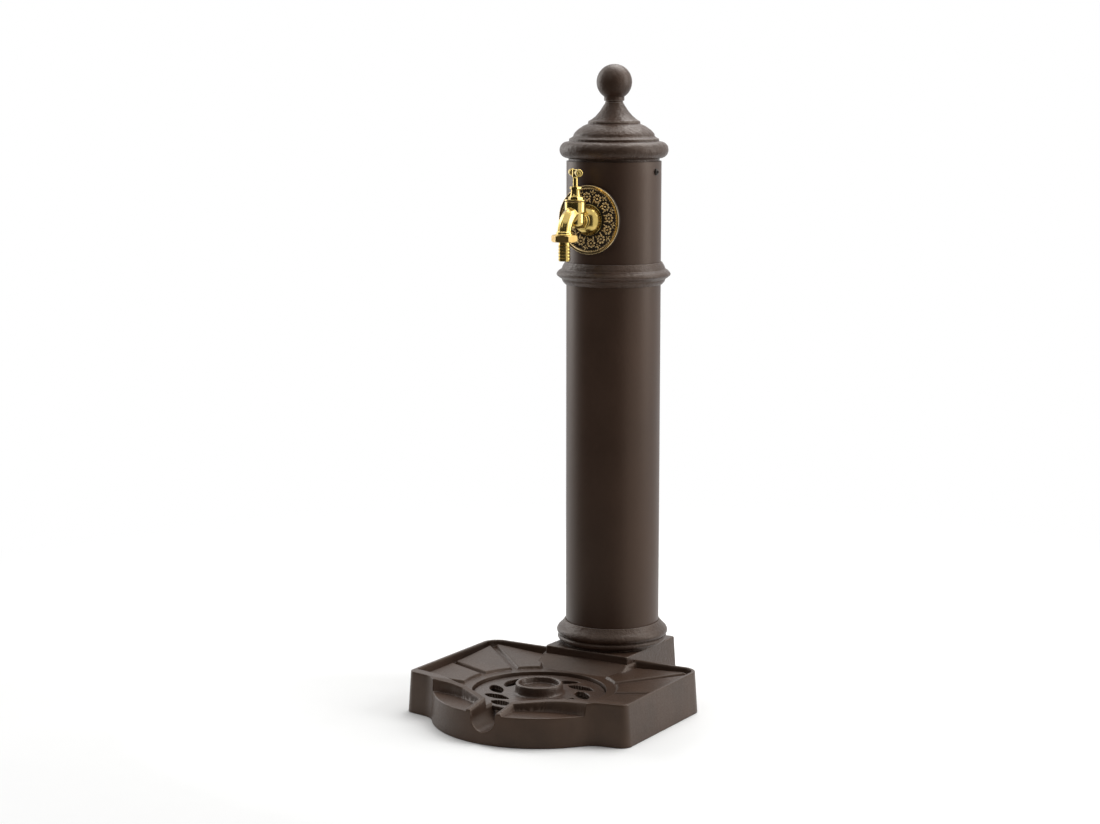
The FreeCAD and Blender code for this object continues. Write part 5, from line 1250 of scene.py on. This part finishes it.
def matt_paper(name, colour):
    """Matt paper for the floor, with flecks 83 mm wide. Far from the object it turns into plain
    white for the eye, so the floor ends nowhere, and near it the paper keeps the shadow."""
    material, tree, shader, place = new_finish(name, Roughness=0.9)
    fleck = add_node(tree, "TexNoise", {"Vector": place, "Scale": 1 / (83.333 * MM),
                                        "Detail": 3.0})
    tone = add_node(tree, "Mix", {0: fleck, 6: shade_of(colour, 0.985),
                                  7: shade_of(colour, 1.015)}, data_type="RGBA")
    fill(tree, shader, {"Base Color": tone.outputs[2]})
    distance = add_node(tree, "VectorMath", {0: place}, operation="LENGTH").outputs["Value"]
    away = add_node(tree, "MapRange", {"Value": distance, "From Min": PAPER_NEAR,
                                       "From Max": PAPER_FAR}, interpolation_type="SMOOTHSTEP")
    white = add_node(tree, "Math", {0: away, 1: seen_by_eye(tree)}, operation="MULTIPLY")
    glow = add_node(tree, "Emission", {"Color": (1, 1, 1, 1), "Strength": 1.0})
    mixed = add_node(tree, "MixShader", {0: white, 1: shader, 2: glow})
    fill(tree, tree.nodes["Material Output"], {"Surface": mixed})
    return material


def black_cloth(name):
    """Black cotton for the flag, which shows only in reflections: painted shade that stands for the
    unlit studio in front of the part. It has no shine at all, and a weave of threads 3 mm wide,
    coarser than real ones.
    """
    material, tree, shader, place = new_finish(name, Roughness=1.0, Specular_IOR_Level=0.0)
    weave = add_node(tree, "TexNoise", {"Vector": place, "Scale": 1 / (3.3333 * MM)})
    dark = add_node(tree, "Mix", {0: weave, 6: shade_of(linear("#3c3a38")),
                                  7: shade_of(linear("#454440"))}, data_type="RGBA")
    fill(tree, shader, {"Base Color": dark.outputs[2]})
    return material


def stage_sheet(name, points, faces, material):
    """A flat or bent sheet of the studio, given in metres."""
    mesh = bpy.data.meshes.new(name)
    mesh.from_pydata(points, [], faces.tolist())
    mesh.materials.append(material)
    sheet = bpy.data.objects.new(name, mesh)
    bpy.context.scene.collection.objects.link(sheet)
    return sheet


def floor_sheet():
    """The floor: a grid of squares a metre wide, just under the part."""
    steps = np.linspace(-FLOOR_HALF, FLOOR_HALF, 2 * FLOOR_HALF + 1)
    x, y = np.meshgrid(steps, steps, indexing="ij")
    points = np.stack([x, y, 0 * x + FLOOR_Z], axis=-1).reshape(-1, 3)
    return points, grid_faces(len(steps), len(steps))


def flag_sheet():
    """The flag, a dark sheet of painted shade for reflections: its outline of (radius, height),
    swept round the object between two angles.
    """
    angle = np.radians(np.linspace(*FLAG_ANGLES, 73))
    points = [ring_points(angle, radius, height) for radius, height in FLAG_LINE]
    return np.concatenate(points), grid_faces(len(FLAG_LINE), len(angle))


def soft_box(name, place, target, size, power):
    """An area lamp that looks from its place at the target."""
    lamp = bpy.data.lights.new(name, "AREA")
    lamp.shape = "RECTANGLE"
    lamp.size, lamp.size_y = size
    lamp.energy = power
    box = bpy.data.objects.new(name, lamp)
    bpy.context.scene.collection.objects.link(box)
    box.location = place
    box.rotation_euler = (Vector(target) - Vector(place)).to_track_quat("-Z", "Y").to_euler()
    box.visible_camera = False


class FOUNTAIN_OT_studio(bpy.types.Operator):
    """Builds the pale floor, the soft lamps, the dark flag that paints shade into reflections, the
    plain white world and the camera
    """
    bl_idname = "fountain.studio"
    bl_label = "Studio"

    def execute(self, context):
        scene = context.scene
        stage_sheet("studio_floor", *floor_sheet(),
                    matt_paper("matt_paper", scene.fountain_colours.floor))
        for lamp in LAMPS:
            soft_box(*lamp)
        flag = stage_sheet("black_flag", *flag_sheet(), black_cloth("black_cloth"))
        # Hidden from the camera, from shadows and from diffuse light, the flag only darkens
        # reflections: painted shade where the studio in front is unlit.
        flag.visible_camera = flag.visible_shadow = flag.visible_diffuse = False
        world = bpy.data.worlds.new("studio")
        world.use_nodes = True
        tree = world.node_tree
        level = add_node(tree, "MapRange", {"Value": seen_by_eye(tree), "To Min": WORLD_LEVEL,
                                            "To Max": 1.0})
        fill(tree, tree.nodes["Background"], {"Color": (1, 1, 1, 1), "Strength": level})
        scene.world = world
        lens = bpy.data.cameras.new("camera")
        lens.lens, lens.sensor_width = LENS_LENGTH, SENSOR_WIDTH
        camera = bpy.data.objects.new("camera", lens)
        scene.collection.objects.link(camera)
        camera.location, camera.rotation_euler = CAMERA_PLACE, CAMERA_TURN
        scene.camera = camera
        scene.view_settings.view_transform = "Standard"
        return {"FINISHED"}


PIECE_OPERATORS = [
    FOUNTAIN_OT_studio, FOUNTAIN_OT_fittings, FOUNTAIN_OT_plinth, FOUNTAIN_OT_tray,
    FOUNTAIN_OT_grate, FOUNTAIN_OT_column, FOUNTAIN_OT_cap, FOUNTAIN_OT_tap,
    FOUNTAIN_OT_handle, FOUNTAIN_OT_outlet, FOUNTAIN_OT_wall_plate,
]


class FOUNTAIN_PT_pieces(bpy.types.Panel):
    """Lists the fountain's sizes, colours and building steps"""
    bl_label = "Garden fountain"
    bl_space_type = "VIEW_3D"
    bl_region_type = "UI"
    bl_category = "Fountain"

    def draw(self, context):
        for group in (context.scene.fountain_sizes, context.scene.fountain_colours):
            column = self.layout.column()
            for label in group.__annotations__:
                column.prop(group, label)
        for step in PIECE_OPERATORS:
            self.layout.operator(step.bl_idname)


CLASSES = [FountainSizes, FountainColours, *PIECE_OPERATORS, FOUNTAIN_PT_pieces]


def register():
    for kind in CLASSES:
        bpy.utils.register_class(kind)
    bpy.types.Scene.fountain_sizes = bpy.props.PointerProperty(type=FountainSizes)
    bpy.types.Scene.fountain_colours = bpy.props.PointerProperty(type=FountainColours)


def unregister():
    del bpy.types.Scene.fountain_colours
    del bpy.types.Scene.fountain_sizes
    for kind in reversed(CLASSES):
        bpy.utils.unregister_class(kind)


def main():
    """Builds everything in order."""
    register()
    for step in PIECE_OPERATORS:
        group, name = step.bl_idname.split(".")
        getattr(getattr(bpy.ops, group), name)()


if __name__ == "__main__":
    main()
